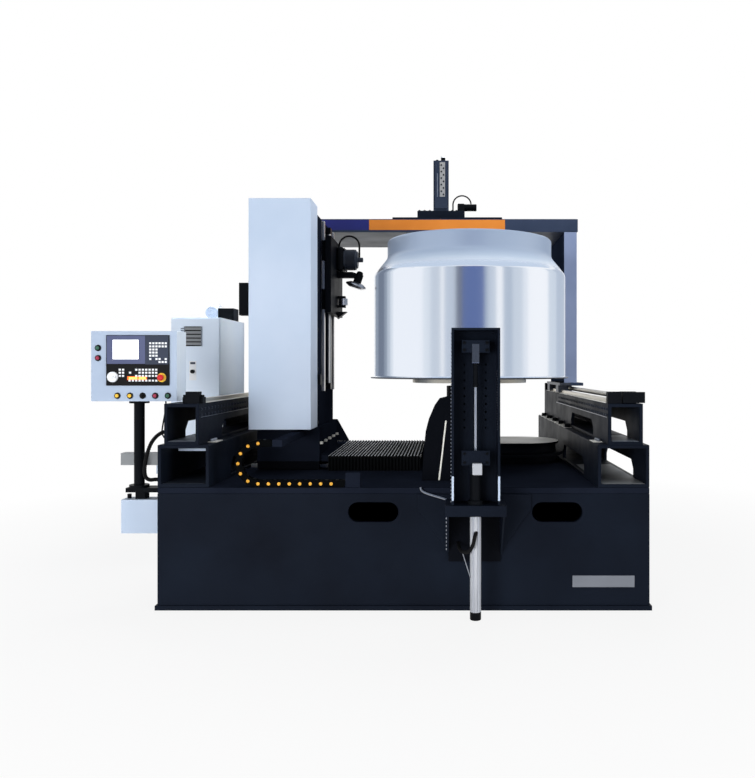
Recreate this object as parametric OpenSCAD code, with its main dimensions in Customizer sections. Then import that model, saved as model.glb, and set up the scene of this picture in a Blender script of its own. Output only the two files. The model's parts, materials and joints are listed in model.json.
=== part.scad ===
// Vertical metal spinning lathe: a bed with two raised side stands, a roller column on the left,
// an upright spindle that carries the spun vessel, a gantry with the tail press, a front lift,
// a control panel and an electrical cabinet.
// Millimetres, X to the right, Y to the back, Z up. The origin is on the floor under the middle of the bed.

/* [Bed] */
// Length of the bed along X
bed_l = 3200; // [3100:10:3400]
// Depth of the bed along Y
bed_w = 3300; // [3200:10:3500]
// Height of the bed's top face
bed_h = 795; // [760:5:840]
// Thickness of the bed's welded plates
bed_plate = 40; // [25:1:50]
// Height of the foot flange
foot_h = 30; // [20:1:45]
// How far the foot flange stands out of the bed
foot_out = 13; // [6:1:25]
// Width of the foot flange under the plates
foot_w = 120; // [90:1:160]
// Length of a lifting slot
slot_l = 328; // [240:1:380]
// Height of a lifting slot
slot_h = 130; // [90:1:150]
// Depth of the lifting slots' centres below the bed's top face
slot_down = 160; // [140:1:200]
// X of the left lifting slot
slot_left_x = -197; // [-260:1:-150]
// X of the right lifting slot
slot_right_x = 1000; // [1000:1:1200]

/* [Stands] */
// Width of a lower stand
low_w = 336; // [310:1:360]
// Height of a lower stand
low_h = 277; // [250:1:300]
// Width of an upper stand
up_w = 228; // [215:1:250]
// Height of an upper stand
up_h = 268; // [240:1:290]
// How far an upper stand is set in from the bed's side
up_inset = 42; // [30:1:55]
// Thickness of the stands' plates
stand_plate = 23; // [15:1:30]
// Distance of an outer window behind the stand's front end
outer_window_y = 360; // [352:1:400]
// Distance of an inner window behind the stand's front end
inner_window_y = 524; // [500:1:560]
// Length of the windows in the stands' sides
window_l = 992; // [900:1:1100]
// Height of the closed strip above a window
window_down = 140; // [120:1:150]
// Cut across the upper corners of a stand's window
window_chamfer = 60; // [20:1:70]

/* [Gantry] */
// Width of a linear rail
rail_w = 34; // [25:1:40]
// Height of a linear rail
rail_h = 30; // [22:1:36]
// Distance of a gantry rail inwards from the middle of its upper stand
rail_off = 69; // [60:1:74]
// Distance of the gantry screw outwards from the middle of its upper stand
screw_off = 31; // [28:1:40]
// Diameter of the gantry screw
screw_d = 36; // [28:1:44]
// Height of the gantry screw above its stand
screw_up = 40; // [36:1:48]
// Width of a gantry post along X
post_w = 120; // [90:1:140]
// Y of the gantry's front face
gantry_front = 530; // [500:5:560]
// Depth of the gantry along Y
gantry_depth = 920; // [860:5:940]
// Height of the beam's underside above the floor
beam_z = 2840; // [2835:5:2950]
// Height of the beam
beam_h = 120; // [90:1:160]
// Wall of the gantry's box sections
gantry_wall = 20; // [12:1:30]
// Thickness of the gantry's foot plates
foot_plate_t = 25; // [16:1:35]
// Height of the gantry's foot plates above the stands
foot_plate_up = 72; // [66:1:90]

/* [Tail press] */
// X of the tail press at rest
tail_x = 225; // [200:1:240]
// Distance of the tail press behind the gantry's front face
tail_back = 470; // [440:5:490]
// Travel of the tail press along the beam
tail_travel = 245; // [200:1:260]
// Thickness of the plate that the tail slide runs on
tail_way_t = 77; // [40:1:90]
// Left end of that plate from the tail press
tail_way_left = 472; // [440:1:520]
// Right end of that plate from the tail press
tail_way_right = 593; // [580:1:640]
// Width of the tail slide
tail_slide_w = 460; // [440:1:480]
// Depth of the tail slide
tail_slide_d = 280; // [240:1:320]
// Thickness of the tail slide
tail_slide_t = 68; // [60:1:95]
// Side of the square tail cylinder
tail_side = 150; // [135:1:170]
// Height of the tail cylinder
tail_h = 504; // [460:1:560]
// Diameter of the tail ram
ram_d = 90; // [70:1:100]
// Diameter of the press pad
pad_d = 240; // [180:1:280]
// Thickness of the press pad
pad_t = 55; // [40:1:60]

/* [Spindle and vessel] */
// X of the spindle axis
spindle_x = 470; // [460:1:480]
// Y of the spindle axis
spindle_y = -150; // [-170:1:-140]
// Diameter of the spindle shaft
shaft_d = 160; // [120:1:180]
// Outer diameter of the spindle housing
housing_d = 380; // [350:1:400]
// Wall of the spindle housing
housing_wall = 40; // [25:1:50]
// Radius of the housing's flange on the bed
housing_flange_r = 225; // [215:1:228]
// Height of the clamp disc's underside
disc_z = 1453; // [1440:1:1470]
// Thickness of the clamp disc
disc_t = 35; // [25:1:45]
// Radius of the clamp disc
disc_r = 476; // [420:1:520]
// Radius of the vessel's body
vessel_r = 800; // [760:1:805]
// Radius of the flange at the vessel's mouth
vessel_flange_r = 825; // [812:1:830]
// Wall of the vessel
vessel_t = 4; // [2:0.5:8]
// Height of the vessel's body up to its shoulder
body_h = 851; // [800:1:870]
// Height of the vessel's shoulder
shoulder_h = 143; // [110:1:150]
// Radius of the vessel's neck
neck_r = 685; // [640:1:710]
// Height of the vessel's neck
neck_h = 146; // [120:1:150]
// Rounding of the neck's top edge
neck_round = 40; // [20:1:60]
// Wall of the hollow mandrel
mandrel_wall = 30; // [20:1:45]

/* [Roller column] */
// X of the column's face towards the work
col_right = -725; // [-735:1:-715]
// Width of the column
col_w = 443; // [420:1:455]
// Y of the column's front face
col_front = -729; // [-760:1:-710]
// Depth of the column
col_d = 907; // [860:1:940]
// Height of the column's top above the floor
col_top = 2769; // [2740:1:2790]
// Wall of the column
col_wall = 25; // [16:1:35]
// Height of the saddle's top above the bed
saddle_h = 327; // [300:1:340]
// Depth of the front cover
cover_d = 291; // [250:1:310]
// Height of the cover's top above the floor
cover_top = 2816; // [2790:1:2825]
// Wall of the front cover
cover_wall = 8; // [4:1:12]
// How far the cover stands past the column's right face
cover_lip = 13; // [6:1:18]
// Height of the roller saddle's lower end above the floor
head_low = 2014; // [1990:1:2040]
// Height of the roller saddle
head_h = 609; // [590:1:625]
// Thickness of the roller saddle
head_t = 45; // [35:1:50]
// Diameter of the column's screw
lift_screw_d = 40; // [30:1:44]
// Diameter of the head motor
head_motor_d = 200; // [170:1:220]
// Radius of the forming roller
roller_r = 88; // [80:1:92]
// Thickness of the forming roller
roller_t = 46; // [36:1:52]
// Tilt of the forming roller
roller_tilt = 18; // [10:1:22]
// Radius of the beading roller
bead_r = 38; // [30:1:42]

/* [Way covers and chain] */
// Length of the bellows along X
bellows_l = 697; // [660:1:705]
// Depth of the bellows along Y
bellows_w = 1328; // [1250:1:1340]
// Height of the bellows above the bed
bellows_h = 112; // [106:1:125]
// Number of pleats in the bellows
pleats = 28; // [20:1:34]
// Depth of a pleat
pleat_d = 18; // [12:1:20]
// Radius of the right-hand cover's round end
way_drum_r = 315; // [280:1:330]
// Height of the right-hand cover's drum
way_drum_h = 150; // [130:1:170]
// Pitch of the cable chain's links
chain_pitch = 68; // [64:1:72]
// Height of a chain link
chain_h = 46; // [40:1:50]
// Width of the chain
chain_w = 50; // [44:1:60]
// Bend radius of the cable chain
chain_bend = 130; // [115:1:140]

/* [Front lift] */
// X of the front lift's middle
lift_x = 461; // [440:1:470]
// Width of the lift post
lift_w = 300; // [280:1:330]
// Depth of the lift post
lift_d = 160; // [145:1:180]
// Wall of the lift post
lift_wall = 14; // [8:1:20]
// Height of the lift post's lower end
lift_low = 729; // [726:1:750]
// Height of the lift post
lift_h = 1091; // [1050:1:1150]
// Distance of the lift post's front from the bed
lift_out = 270; // [265:1:300]
// Diameter of the lift cylinder
barrel_d = 70; // [60:1:80]
// Diameter of the lift rod
rod_d = 23; // [18:1:30]
// Height of the bracket's shelf
shelf_z = 655; // [640:1:657]
// Thickness of the bracket's shelf
shelf_t = 68; // [55:1:69]

/* [Control panel] */
// X of the panel's middle
panel_x = -1803; // [-1820:1:-1800]
// Width of the panel box
panel_w = 571; // [560:1:580]
// Height of the panel box
panel_h = 468; // [460:1:500]
// Depth of the panel box
panel_d = 184; // [170:1:220]
// Height of the panel box's underside
panel_z = 1351; // [1346:1:1370]
// Distance of the panel's front face behind the bed's front face
panel_back = 127; // [110:1:140]
// Diameter of the panel's post
pole_d = 69; // [55:1:80]
// Diameter of a panel button's cap
button_d = 23; // [18:1:24]
// Diameter of a panel button's stem
stem_d = 12; // [8:1:14]
// Travel of a panel button
button_travel = 5; // [3:0.5:6]

/* [Cabinet and boxes] */
// Width of the electrical cabinet
cab_w = 404; // [380:1:430]
// Depth of the electrical cabinet
cab_d = 790; // [700:1:850]
// Height of the electrical cabinet
cab_h = 1996; // [1900:1:2100]
// Y of the cabinet's front
cab_front = -220; // [-240:1:-180]
// Wall of the cabinet
cab_wall = 20; // [12:1:25]
// Thickness of the cabinet's door
door_t = 24; // [18:1:30]
// Width of the junction box
jbox_w = 244; // [220:1:260]
// Height of the junction box
jbox_h = 225; // [200:1:240]
// Height of the cable trunk
trunk_h = 82; // [70:1:95]

/* [Hidden] */
$fn = 64;

// Overlap of a cut past the face that it opens
cut = 1;
// Radial clearance of a shaft in its bore
run_gap = 0.05;
// Clearance between faces that slide past each other
slide_gap = 0.4;

// Bed and stands
bx = bed_l/2;
by = bed_w/2;
low_top = bed_h + low_h;
stand_top = low_top + up_h;
up_mid = bx - up_inset - up_w/2;
up_in = up_mid - up_w/2;
low_in = bx - low_w;

// Gantry
rail_x = up_mid - rail_off;
screw_x = up_mid + screw_off;
screw_z = stand_top + screw_up;
foot_plate_z = stand_top + foot_plate_up;
post_z = foot_plate_z + foot_plate_t;
post_mid = up_mid - 14;
gantry_back = gantry_front + gantry_depth;
gantry_mid = gantry_front + gantry_depth/2;
beam_half = post_mid + post_w/2 + 10;
beam_top = beam_z + beam_h;
carriage_w = rail_w + 62;
carriage_l = 160;
carriage_inset = 70;
// Front and back ends of the gantry rails, and of the screw's bearing blocks
rail_end = by - 60;
bearing_l = 60;
bearing_in = rail_end - 10;
bearing_w = 96;
bearing_top = stand_top + foot_plate_up + 6;
nut_l = 100;
nut_half = 34;
stop_half = 45;
stop_in = 8;

// Tail press
tail_y = gantry_front + tail_back;
way_top = beam_top + tail_way_t;
slide_z = way_top + slide_gap;
slide_top = slide_z + tail_slide_t;
slot_half = ram_d/2 + 15;
pad_top = beam_z - 10;
ram_top = slide_top + tail_h - 40;
gear_r = 36;
gear_x = tail_x + 162;
gear_l = 188;
gear_up = 20;

// Spindle and vessel
housing_top = disc_z - 28;
housing_low = 430;
bearing_ring_h = 80;
housing_flange_t = 30;
disc_top = disc_z + disc_t;
vessel_low = disc_top + 2;
flange_t = 12;
shoulder_z = vessel_low + body_h;
neck_z = shoulder_z + shoulder_h;
vessel_top = neck_z + neck_h;
mandrel_gap = 0.5;
motor_r = housing_d/2 + 40;
motor_low = foot_h + 30;

// Roller column
col_left = col_right - col_w;
col_back = col_front + col_d;
saddle_top = bed_h + saddle_h;
saddle_low = bed_h + rail_h + 30;
saddle_right = col_right + 35;
saddle_front = col_front - 31;
saddle_back = col_back + 31;
nose_right = saddle_right + 72;
col_rail_h = 30;
col_rail_w = 34;
col_rail_set = 262;
col_rail_span = 517;
col_rail_front = col_front + col_rail_set;
col_rail_rear = col_rail_front + col_rail_span;
col_rail_low = 1390;
col_rail_top = col_top - 20;
carriage_face = col_right + 45;
head_left = carriage_face;
head_right = head_left + head_t;
head_top = head_low + head_h;
head_front = col_rail_front - 80;
head_rear = col_rail_rear + 80;
lift_screw_x = col_right + 22.5;
lift_screw_y = (col_rail_front + col_rail_rear)/2;
bed_rail_front = col_front + 130;
bed_rail_rear = col_back - 130;
bed_rail_left = -low_in + 12;
bed_rail_right = 60;
motor_z = head_top - 139;
roller_x = head_right + 152;
roller_z = head_low + 255;
bead_x = head_right + 45;
bead_z = head_low + 116;
feed_z = bed_h + 42;
feed_d = 60;
feed_rod_d = 30;
feed_grip = 40;
feed_reach = 400;
drive_low = 1966;
drive_h = 277;
drive_plate_w = 75;
drive_w = 150;
screw_bearing_h = 50;
lift_nut_up = 260;
lift_nut_h = 100;
screw_bearing_half = 45;

// Way covers and chain
bellows_x = nose_right;
bellows_end = bellows_x + bellows_l;
bellows_y = spindle_y - bellows_w/2;
bellows_t = 4;
cover_y = spindle_y + 60;
chain_y = -by + 30;
chain_gap = 0.6;
chain_low_z = bed_h + chain_h/2 + chain_gap;
chain_low_links = 8;
chain_bend_links = 6;
chain_right = -403;
chain_plate = 4;
anchor_l = 98;
anchor_h = 95;
chain_arm_l = 66;

// Front lift
lift_front = -by - lift_out;
lift_back = lift_front + lift_d;
lift_top = lift_low + lift_h;
guide_rail_h = 18;
guide_rail_w = 23;
guide_front = lift_back + 24;
guide_back = guide_front + 36;
guide_l = 911;
guide_top = lift_low + guide_l;
shelf_top = shelf_z + shelf_t;
barrel_y = lift_front + 70;
barrel_low = 3;
head_block_z = shelf_z + 259;
head_block_h = 74;
bridge_up = 939;
bridge_z = lift_low + bridge_up;
bridge_h = 77;
rod_in = 175;
clevis_h = 65;
clevis_half = 22;
shelf_half = 190;
flare_half = 366;
flare_low_half = 130;
flare_h = 324;
flare_t = 20;
flare_up = 30;
gusset_h = 300;
guide_off = 100;
plate_half = 86;
post_hole_r = 7;
post_hole_off = 68;
post_hole_up = 465;
post_hole_step = 50;
guard_left = lift_x - 352;
guard_right = lift_x + 150;
guard_back = -by + 330;
guard_t = 12;
guard_h = 584;
// Edge of the front guard: distance from its left side, part of its height
guard_curve = [[0, 0], [14, 0.377], [27, 0.589], [48, 0.729], [89, 0.894], [123, 0.976], [178, 1]];
guard_foot = 50;

// Control panel
panel_front = -by + panel_back;
panel_rear = panel_front + panel_d;
panel_top = panel_z + panel_h;
pole_y = panel_rear - 91;
arm_top = bed_h - 27;
arm_h = 30;
arm_over = 70;
arm_half = 60;
pole_flange_t = 16;
pole_flange_d = pole_d + 61;
unit_t = 12;
unit_w = 421;
unit_h = 337;
unit_x = panel_x + 28.5;
unit_low = panel_z + 104;
unit_front = panel_front - unit_t;
collar_d = button_d + 12;
collar_t = 8;
cap_t = 10;
stem_l = 22;
row_z = panel_z + 37;
row_step = 84;
row_x = panel_x - 109;
side_x = panel_x - 238;
side_green_z = panel_z + 355;
side_red_z = panel_z + 288;
stop_x = panel_x + 190;
stop_z = panel_z + 158;
wheel_x = panel_x - 133;
wheel_z = panel_z + 162;
wheel_r = 35;
wheel_t = 20;
stop_r = 20;
stop_t = 16;
key_t = 3;
screen_w = 174;
screen_h = 133;

// Cabinet and boxes
cab_right = -bx - foot_out;
cab_left = cab_right - cab_w;
cab_back = cab_front + cab_d;
door_gap = 1;
hinge_r = 12;
knob_z = 1545;
knob_x = cab_right - cab_w/2 - 20;
knob_r = 16;
knob_stem_r = 9;
roof_x = cab_right - cab_w/2 + 40;
blower_r = 73;
blower_x = roof_x + 20;
blower_y = cab_front + 440;
blower_w = 140;
blower_d = 160;
blower_h = 110;
fan_l = 80;
plinth_h = 100;
hinge_h = 40;
vent_low = 240;
vent_step = 18;
vent_h = 8;
trunk_top = bed_h + 195;
trunk_w = 350;
trunk_foot_w = 110;
trunk_foot_h = 60;
trunk_foot_in = 10;
trunk_d = 84;
trunk_y = -by + 268;
jbox_d = 130;
jbox_right = -bx - 56;
jbox_drop = 48;
jbox_stem_in = 94;
jbox_stem_w = 65;
jbox_stem_half = 40;
gland_in = 30;
gland_h = 30;
gland_r = 14;

// Routes of the panel's lead and hose
lead_d = 10;
lead_y = panel_front + 43;
end_gap = 0.1;
lead_route = [[-bx - 6, lead_y, panel_z - end_gap], [-bx - 6, lead_y, panel_z - 26],
              [-bx - 10, lead_y - 10, panel_z - 91], [-bx - 17, lead_y - 30, low_top + 108],
              [-bx - 12, lead_y - 50, low_top + 64], [-bx + 14, lead_y - 66, low_top + 30],
              [-bx + 20, lead_y - 70, low_top + 14], [-bx + 20, lead_y - 70, low_top + end_gap]];
hose_d = 26;
hose_bore_d = 16;
hose_ribs = 52;
hose_rib = 2;
hose_y = -by + 50;
hose_route = [[-bx + up_inset - end_gap, hose_y, low_top + 78], [-bx + 16, hose_y, low_top + 78],
              [-bx - 28, hose_y, low_top + 48], [-bx - 64, hose_y, low_top - 4],
              [-bx - 90, hose_y, low_top - 84], [-bx - 102, hose_y, bed_h + 112],
              [-bx - 94, hose_y, bed_h + 62], [-bx - 68, hose_y, bed_h + 44],
              [-bx - 33, hose_y, bed_h + 46], [-bx - end_gap, hose_y, bed_h + 46]];

// A box between two corners
module block(x0, x1, y0, y1, z0, z1) {
    translate([x0, y0, z0]) cube([x1 - x0, y1 - y0, z1 - z0]);
}

// Round bars along X, Y and Z
module bar_x(x0, x1, y, z, r) {
    translate([x0, y, z]) rotate([0, 90, 0]) cylinder(h = x1 - x0, r = r);
}
module bar_y(x, y0, y1, z, r) {
    translate([x, y0, z]) rotate([-90, 0, 0]) cylinder(h = y1 - y0, r = r);
}
module bar_z(x, y, z0, z1, r) {
    translate([x, y, z0]) cylinder(h = z1 - z0, r = r);
}

// Both sides of the machine
module both_sides() {
    children();
    mirror([1, 0, 0]) children();
}

// Points of an arc in the plane of a profile
function arc(cx, cy, r, a0, a1, n) = [for (i = [0:n]) let (a = a0 + (a1 - a0)*i/n) [cx + r*cos(a),
      cy + r*sin(a)]];

// A smooth route through hand-set points, and its tubes
function smooth(p0, p1, p2, p3, t) = 0.5*(2*p1 + (p2 - p0)*t + (2*p0 - 5*p1 + 4*p2 - p3)*t*t
                                          + (3*p1 - p0 - 3*p2 + p3)*t*t*t);
function along(route, u) = let (n = len(route) - 1, s = min(floor(u*n), n - 1), t = u*n - s)
    smooth(route[max(s - 1, 0)], route[s], route[s + 1], route[min(s + 2, n)], t);
function unit(v) = v/norm(v);
function heading(route, u) = u < 0.001 ? unit(route[1] - route[0])
    : u > 0.999 ? unit(route[len(route) - 1] - route[len(route) - 2])
    : unit(along(route, u + 0.001) - along(route, u - 0.001));
function ring(route, u, r, sides) = let (c = along(route, u), t = heading(route, u), b = unit(cross(t,
      [0.2, 1, 0.1])),
    n = cross(b, t)) [for (k = [0:sides - 1]) c + r*(cos(360*k/sides)*b + sin(360*k/sides)*n)];

// A plain cord: rings of one radius, closed at both ends
module cord(route, d, rings, sides) {
    points = [for (i = [0:rings]) each ring(route, i/rings, d/2, sides)];
    walls = [for (i = [0:rings - 1]) for (k = [0:sides - 1]) let (a = i*sides + k,
          b = i*sides + (k + 1)%sides)
             each [[a, b, a + sides], [b, b + sides, a + sides]]];
    ends = [for (k = [1:sides - 2]) each [[0, k + 1, k], [rings*sides, rings*sides + k,
          rings*sides + k + 1]]];
    polyhedron(points, concat(walls, ends));
}

// A ribbed hose with its bore: two outer rings a rib, plain for one diameter at each end
module ribbed_hose(route, d, bore, rib, ribs, sides) {
    rings = 2*ribs;
    outer = [for (i = [0:rings]) each ring(route, i/rings,
          d/2 - ((i%2 == 0 || i < 4 || i > rings - 4) ? rib : 0), sides)];
    inner = [for (i = [0:rings]) each ring(route, i/rings, bore/2, sides)];
    half = (rings + 1)*sides;
    walls = [for (i = [0:rings - 1]) for (k = [0:sides - 1]) let (a = i*sides + k,
          b = i*sides + (k + 1)%sides)
             each [[a, b, a + sides], [b, b + sides, a + sides],
                   [half + a, half + a + sides, half + b], [half + b, half + a + sides, half + b + sides]]];
    ends = [for (k = [0:sides - 1]) let (k1 = (k + 1)%sides, e = rings*sides)
            each [[k, half + k, k1], [k1, half + k, half + k1],
                  [e + k, e + k1, half + e + k], [e + k1, half + e + k1, half + e + k]]];
    polyhedron(concat(outer, inner), concat(walls, ends));
}

// Bed: plates on a foot flange, closed by the top plate
module lifting_slot(x) {
    z = bed_h - slot_down;
    straight = slot_l - slot_h;
    y0 = -by - cut;
    y1 = -by + bed_plate + cut;
    block(x - straight/2, x + straight/2, y0, y1, z - slot_h/2, z + slot_h/2);
    bar_y(x - straight/2, y0, y1, z, slot_h/2);
    bar_y(x + straight/2, y0, y1, z, slot_h/2);
}

module bed_front_plate() {
    color([0.09, 0.11, 0.15]) difference() {
        block(-bx, bx, -by, -by + bed_plate, foot_h, bed_h - bed_plate);
        lifting_slot(slot_left_x);
        lifting_slot(slot_right_x);
    }
}

module bed_walls() {
    color([0.09, 0.11, 0.15]) {
        difference() {
            block(-bx - foot_out, bx + foot_out, -by - foot_out, by + foot_out, 0, foot_h);
            block(-bx + foot_w, bx - foot_w, -by + foot_w, by - foot_w, -cut, foot_h + cut);
        }
        block(-bx, bx, by - bed_plate, by, foot_h, bed_h - bed_plate);
        both_sides() block(bx - bed_plate, bx, -by + bed_plate, by - bed_plate, foot_h, bed_h - bed_plate);
    }
}

module bed_top_plate() {
    color([0.12, 0.14, 0.19]) {
        difference() {
            block(-bx, bx, -by, by, bed_h - bed_plate, bed_h);
            bar_z(spindle_x, spindle_y, bed_h - bed_plate - cut, bed_h + cut, housing_d/2 + slide_gap);
        }
        // Anchor of the cable chain's fixed end
        block(chain_right + chain_h/2 + chain_gap, chain_right + chain_h/2 + anchor_l, chain_y - chain_w/2,
              chain_y + chain_w/2, bed_h, bed_h + anchor_h);
    }
}

// Side stands: plate boxes, open at both ends, with a window through each side near the front,
// but none in the outer side of the lower left one
module stand_window(x, y0, z0, z1) {
    y1 = y0 + window_l;
    translate([x - cut, 0, z0]) rotate([90, 0, 90]) linear_extrude(height = stand_plate + 2*cut)
        polygon([[y0, 0], [y1, 0], [y1, z1 - z0 - window_chamfer], [y1 - window_chamfer, z1 - z0],
                 [y0 + window_chamfer, z1 - z0], [y0, z1 - z0 - window_chamfer]]);
}

module stand(x0, x1, z0, z1, outer_window) {
    difference() {
        block(x0, x1, -by, by, z0, z1);
        block(x0 + stand_plate, x1 - stand_plate, -by - cut, by + cut, z0 + stand_plate, z1 - stand_plate);
        stand_window(x0, -by + inner_window_y, z0 + stand_plate, z1 - window_down);
        if (outer_window)
            stand_window(x1 - stand_plate, -by + outer_window_y, z0 + stand_plate, z1 - window_down);
    }
}

module lower_stands() {
    color([0.09, 0.11, 0.15]) {
        stand(low_in, bx, bed_h, low_top, true);
        mirror([1, 0, 0]) stand(low_in, bx, bed_h, low_top, false);
    }
}

module upper_stands() {
    color([0.09, 0.11, 0.15]) both_sides() stand(up_in, up_in + up_w, low_top, stand_top, true);
}

// Rails of the gantry on the stands, and of the column on the bed
module linear_rails() {
    color([0.8, 0.8, 0.78]) {
        both_sides() block(rail_x - rail_w/2, rail_x + rail_w/2, -rail_end, rail_end, stand_top,
              stand_top + rail_h);
        for (y = [bed_rail_front, bed_rail_rear])
            block(bed_rail_left, bed_rail_right, y - rail_w/2, y + rail_w/2, bed_h, bed_h + rail_h);
    }
}

// Bearing blocks and front motor of the gantry screw, and the stepped stop blocks of the rails
module gantry_drive() {
    color([0.15, 0.16, 0.19]) {
        for (side = [-1, 1])
            difference() {
                block(screw_x - bearing_w/2, screw_x + bearing_w/2, side*bearing_in - bearing_l/2,
                      side*bearing_in + bearing_l/2, stand_top, bearing_top);
                bar_y(screw_x, side*bearing_in - bearing_l, side*bearing_in + bearing_l, screw_z,
                      screw_d/2 + run_gap);
            }
        block(screw_x - bearing_w/2, screw_x + bearing_w, -by, -bearing_in - bearing_l/2, stand_top + 5,
              bearing_top - 2);
        both_sides() {
            block(rail_x - stop_half, rail_x + stop_half, -by + stop_in, -rail_end, stand_top, bearing_top);
            block(rail_x - stop_half, rail_x + stop_half, rail_end, by - stop_in, stand_top, bearing_top);
        }
    }
}

// Spindle: housing and bearings in the bed, direct motor below
module spindle_housing() {
    color([0.13, 0.15, 0.19]) difference() {
        union() {
            bar_z(spindle_x, spindle_y, housing_low, housing_top, housing_d/2);
            bar_z(spindle_x, spindle_y, bed_h, bed_h + housing_flange_t, housing_flange_r);
            bar_z(spindle_x, spindle_y, housing_low, housing_low + housing_flange_t, motor_r);
        }
        bar_z(spindle_x, spindle_y, housing_low - cut, housing_top + cut, housing_d/2 - housing_wall);
    }
}

module spindle_bearings() {
    color([0.7, 0.7, 0.7])
        for (z = [housing_low + 60, housing_top - 20 - bearing_ring_h])
            difference() {
                bar_z(spindle_x, spindle_y, z, z + bearing_ring_h, housing_d/2 - housing_wall - run_gap);
                bar_z(spindle_x, spindle_y, z - cut, z + bearing_ring_h + cut, shaft_d/2 + run_gap);
            }
}

module spindle_motor() {
    color([0.2, 0.22, 0.26]) difference() {
        bar_z(spindle_x, spindle_y, motor_low, housing_low, motor_r);
        bar_z(spindle_x, spindle_y, motor_low + 100, housing_low + cut, shaft_d/2 + run_gap);
    }
}

module spindle_shaft() {
    color([0.75, 0.75, 0.75]) bar_z(spindle_x, spindle_y, motor_low + 140, disc_z, shaft_d/2);
}

module clamp_disc() {
    color([0.25, 0.26, 0.28]) bar_z(spindle_x, spindle_y, disc_z, disc_top, disc_r);
}

// A turned profile of the vessel's family: body, shoulder and neck, drawn in from the outside by a wall
function turned(low, wall) = concat(
    [[0, low], [vessel_r - wall, low], [vessel_r - wall, shoulder_z - wall/2], [neck_r - wall,
    neck_z - wall/2]],
    arc(neck_r - neck_round, vessel_top - neck_round, max(neck_round - wall, 2), 0, 90, 8),
    [[0, vessel_top - wall]]);

module turn_up(profile) {
    translate([spindle_x, spindle_y, 0]) rotate_extrude($fn = 128) polygon(profile);
}

module mandrel() {
    color([0.45, 0.45, 0.47]) difference() {
        turn_up(turned(disc_top, vessel_t + mandrel_gap));
        turn_up(turned(disc_top + mandrel_wall, vessel_t + mandrel_gap + mandrel_wall));
    }
}

module spun_vessel() {
    color([0.82, 0.84, 0.87]) difference() {
        union() {
            turn_up(turned(vessel_low, 0));
            bar_z(spindle_x, spindle_y, vessel_low, vessel_low + flange_t, vessel_flange_r);
        }
        turn_up(turned(vessel_low - cut, vessel_t));
    }
}

// Cover of the right-hand way: a drum with a half-round end, a wide flange below and a top plate
module half_round(x0, x1, r, z0, z1) {
    block(x0, x1 - r, cover_y - r, cover_y + r, z0, z1);
    intersection() {
        bar_z(x1 - r, cover_y, z0, z1, r);
        block(x0, x1, cover_y - r, cover_y + r, z0, z1);
    }
}

module right_way_cover() {
    x0 = spindle_x + housing_flange_r + 10;
    color([0.5, 0.53, 0.57]) {
        half_round(x0, low_in - 60, way_drum_r - 15, bed_h, bed_h + way_drum_h);
        half_round(x0, low_in - 6, way_drum_r + 90, bed_h + 58, bed_h + 86);
        half_round(x0, low_in - 38, way_drum_r + 10, bed_h + way_drum_h, bed_h + way_drum_h + 20);
    }
}

// Feed cylinder of the column, between its rails
module feed_cylinder() {
    color([0.6, 0.62, 0.64]) {
        difference() {
            union() {
                bar_x(nose_right + 60, bed_rail_right, spindle_y, feed_z, feed_d/2);
                for (x = [nose_right + 70, bed_rail_right - 60])
                    block(x, x + 50, spindle_y - feed_d/2, spindle_y + feed_d/2, bed_h, feed_z);
            }
            bar_x(nose_right + 60 - cut, bed_rail_right - 60, spindle_y, feed_z, feed_rod_d/2 + run_gap);
        }
    }
}

// Front lift: bracket with its guide, cylinder, moving post and rod
module front_bracket() {
    color([0.1, 0.12, 0.16]) difference() {
        union() {
            block(lift_x - shelf_half, lift_x + shelf_half, lift_front, -by, shelf_z, shelf_top);
            block(lift_x - lift_w/2 + 30, lift_x + lift_w/2 - 30, guide_front, guide_back, shelf_z,
                  guide_top);
            for (x = [lift_x - guide_off, lift_x + guide_off])
                block(x - guide_rail_w/2, x + guide_rail_w/2, guide_front - guide_rail_h, guide_front,
                      shelf_top, guide_top);
            translate([0, -by, 0]) rotate([90, 0, 0]) linear_extrude(height = flare_t)
                polygon([[lift_x - flare_half, shelf_top + flare_up], [lift_x + flare_half,
                      shelf_top + flare_up],
                         [lift_x + flare_half, shelf_z], [lift_x + flare_low_half, shelf_z - flare_h],
                         [lift_x - flare_low_half, shelf_z - flare_h], [lift_x - flare_half, shelf_z]]);
            for (x = [lift_x - shelf_half + 10, lift_x + shelf_half - 10 - lift_wall])
                translate([x, 0, 0]) rotate([90, 0, 90]) linear_extrude(height = lift_wall)
                    polygon([[lift_front, shelf_z], [-by, shelf_z], [-by, shelf_z - gusset_h]]);
        }
        bar_z(lift_x, barrel_y, shelf_z - cut, shelf_top + cut, barrel_d/2 + slide_gap);
    }
}

module lift_cylinder() {
    color([0.78, 0.79, 0.82]) difference() {
        union() {
            bar_z(lift_x, barrel_y, barrel_low, head_block_z, barrel_d/2);
            bar_z(lift_x, barrel_y, shelf_top, shelf_top + 24, barrel_d/2 + 15);
            block(lift_x - barrel_d/2, lift_x + barrel_d/2, barrel_y - barrel_d/2, barrel_y + barrel_d/2,
                  head_block_z, head_block_z + head_block_h);
            block(lift_x - plate_half, lift_x + plate_half, barrel_y - barrel_d/2 - lift_wall,
                  barrel_y - barrel_d/2,
                  head_block_z + head_block_h - 19, head_block_z + head_block_h + 73);
        }
        bar_z(lift_x, barrel_y, barrel_low + 20, head_block_z + head_block_h + cut, rod_d/2 + run_gap);
    }
}

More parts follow.
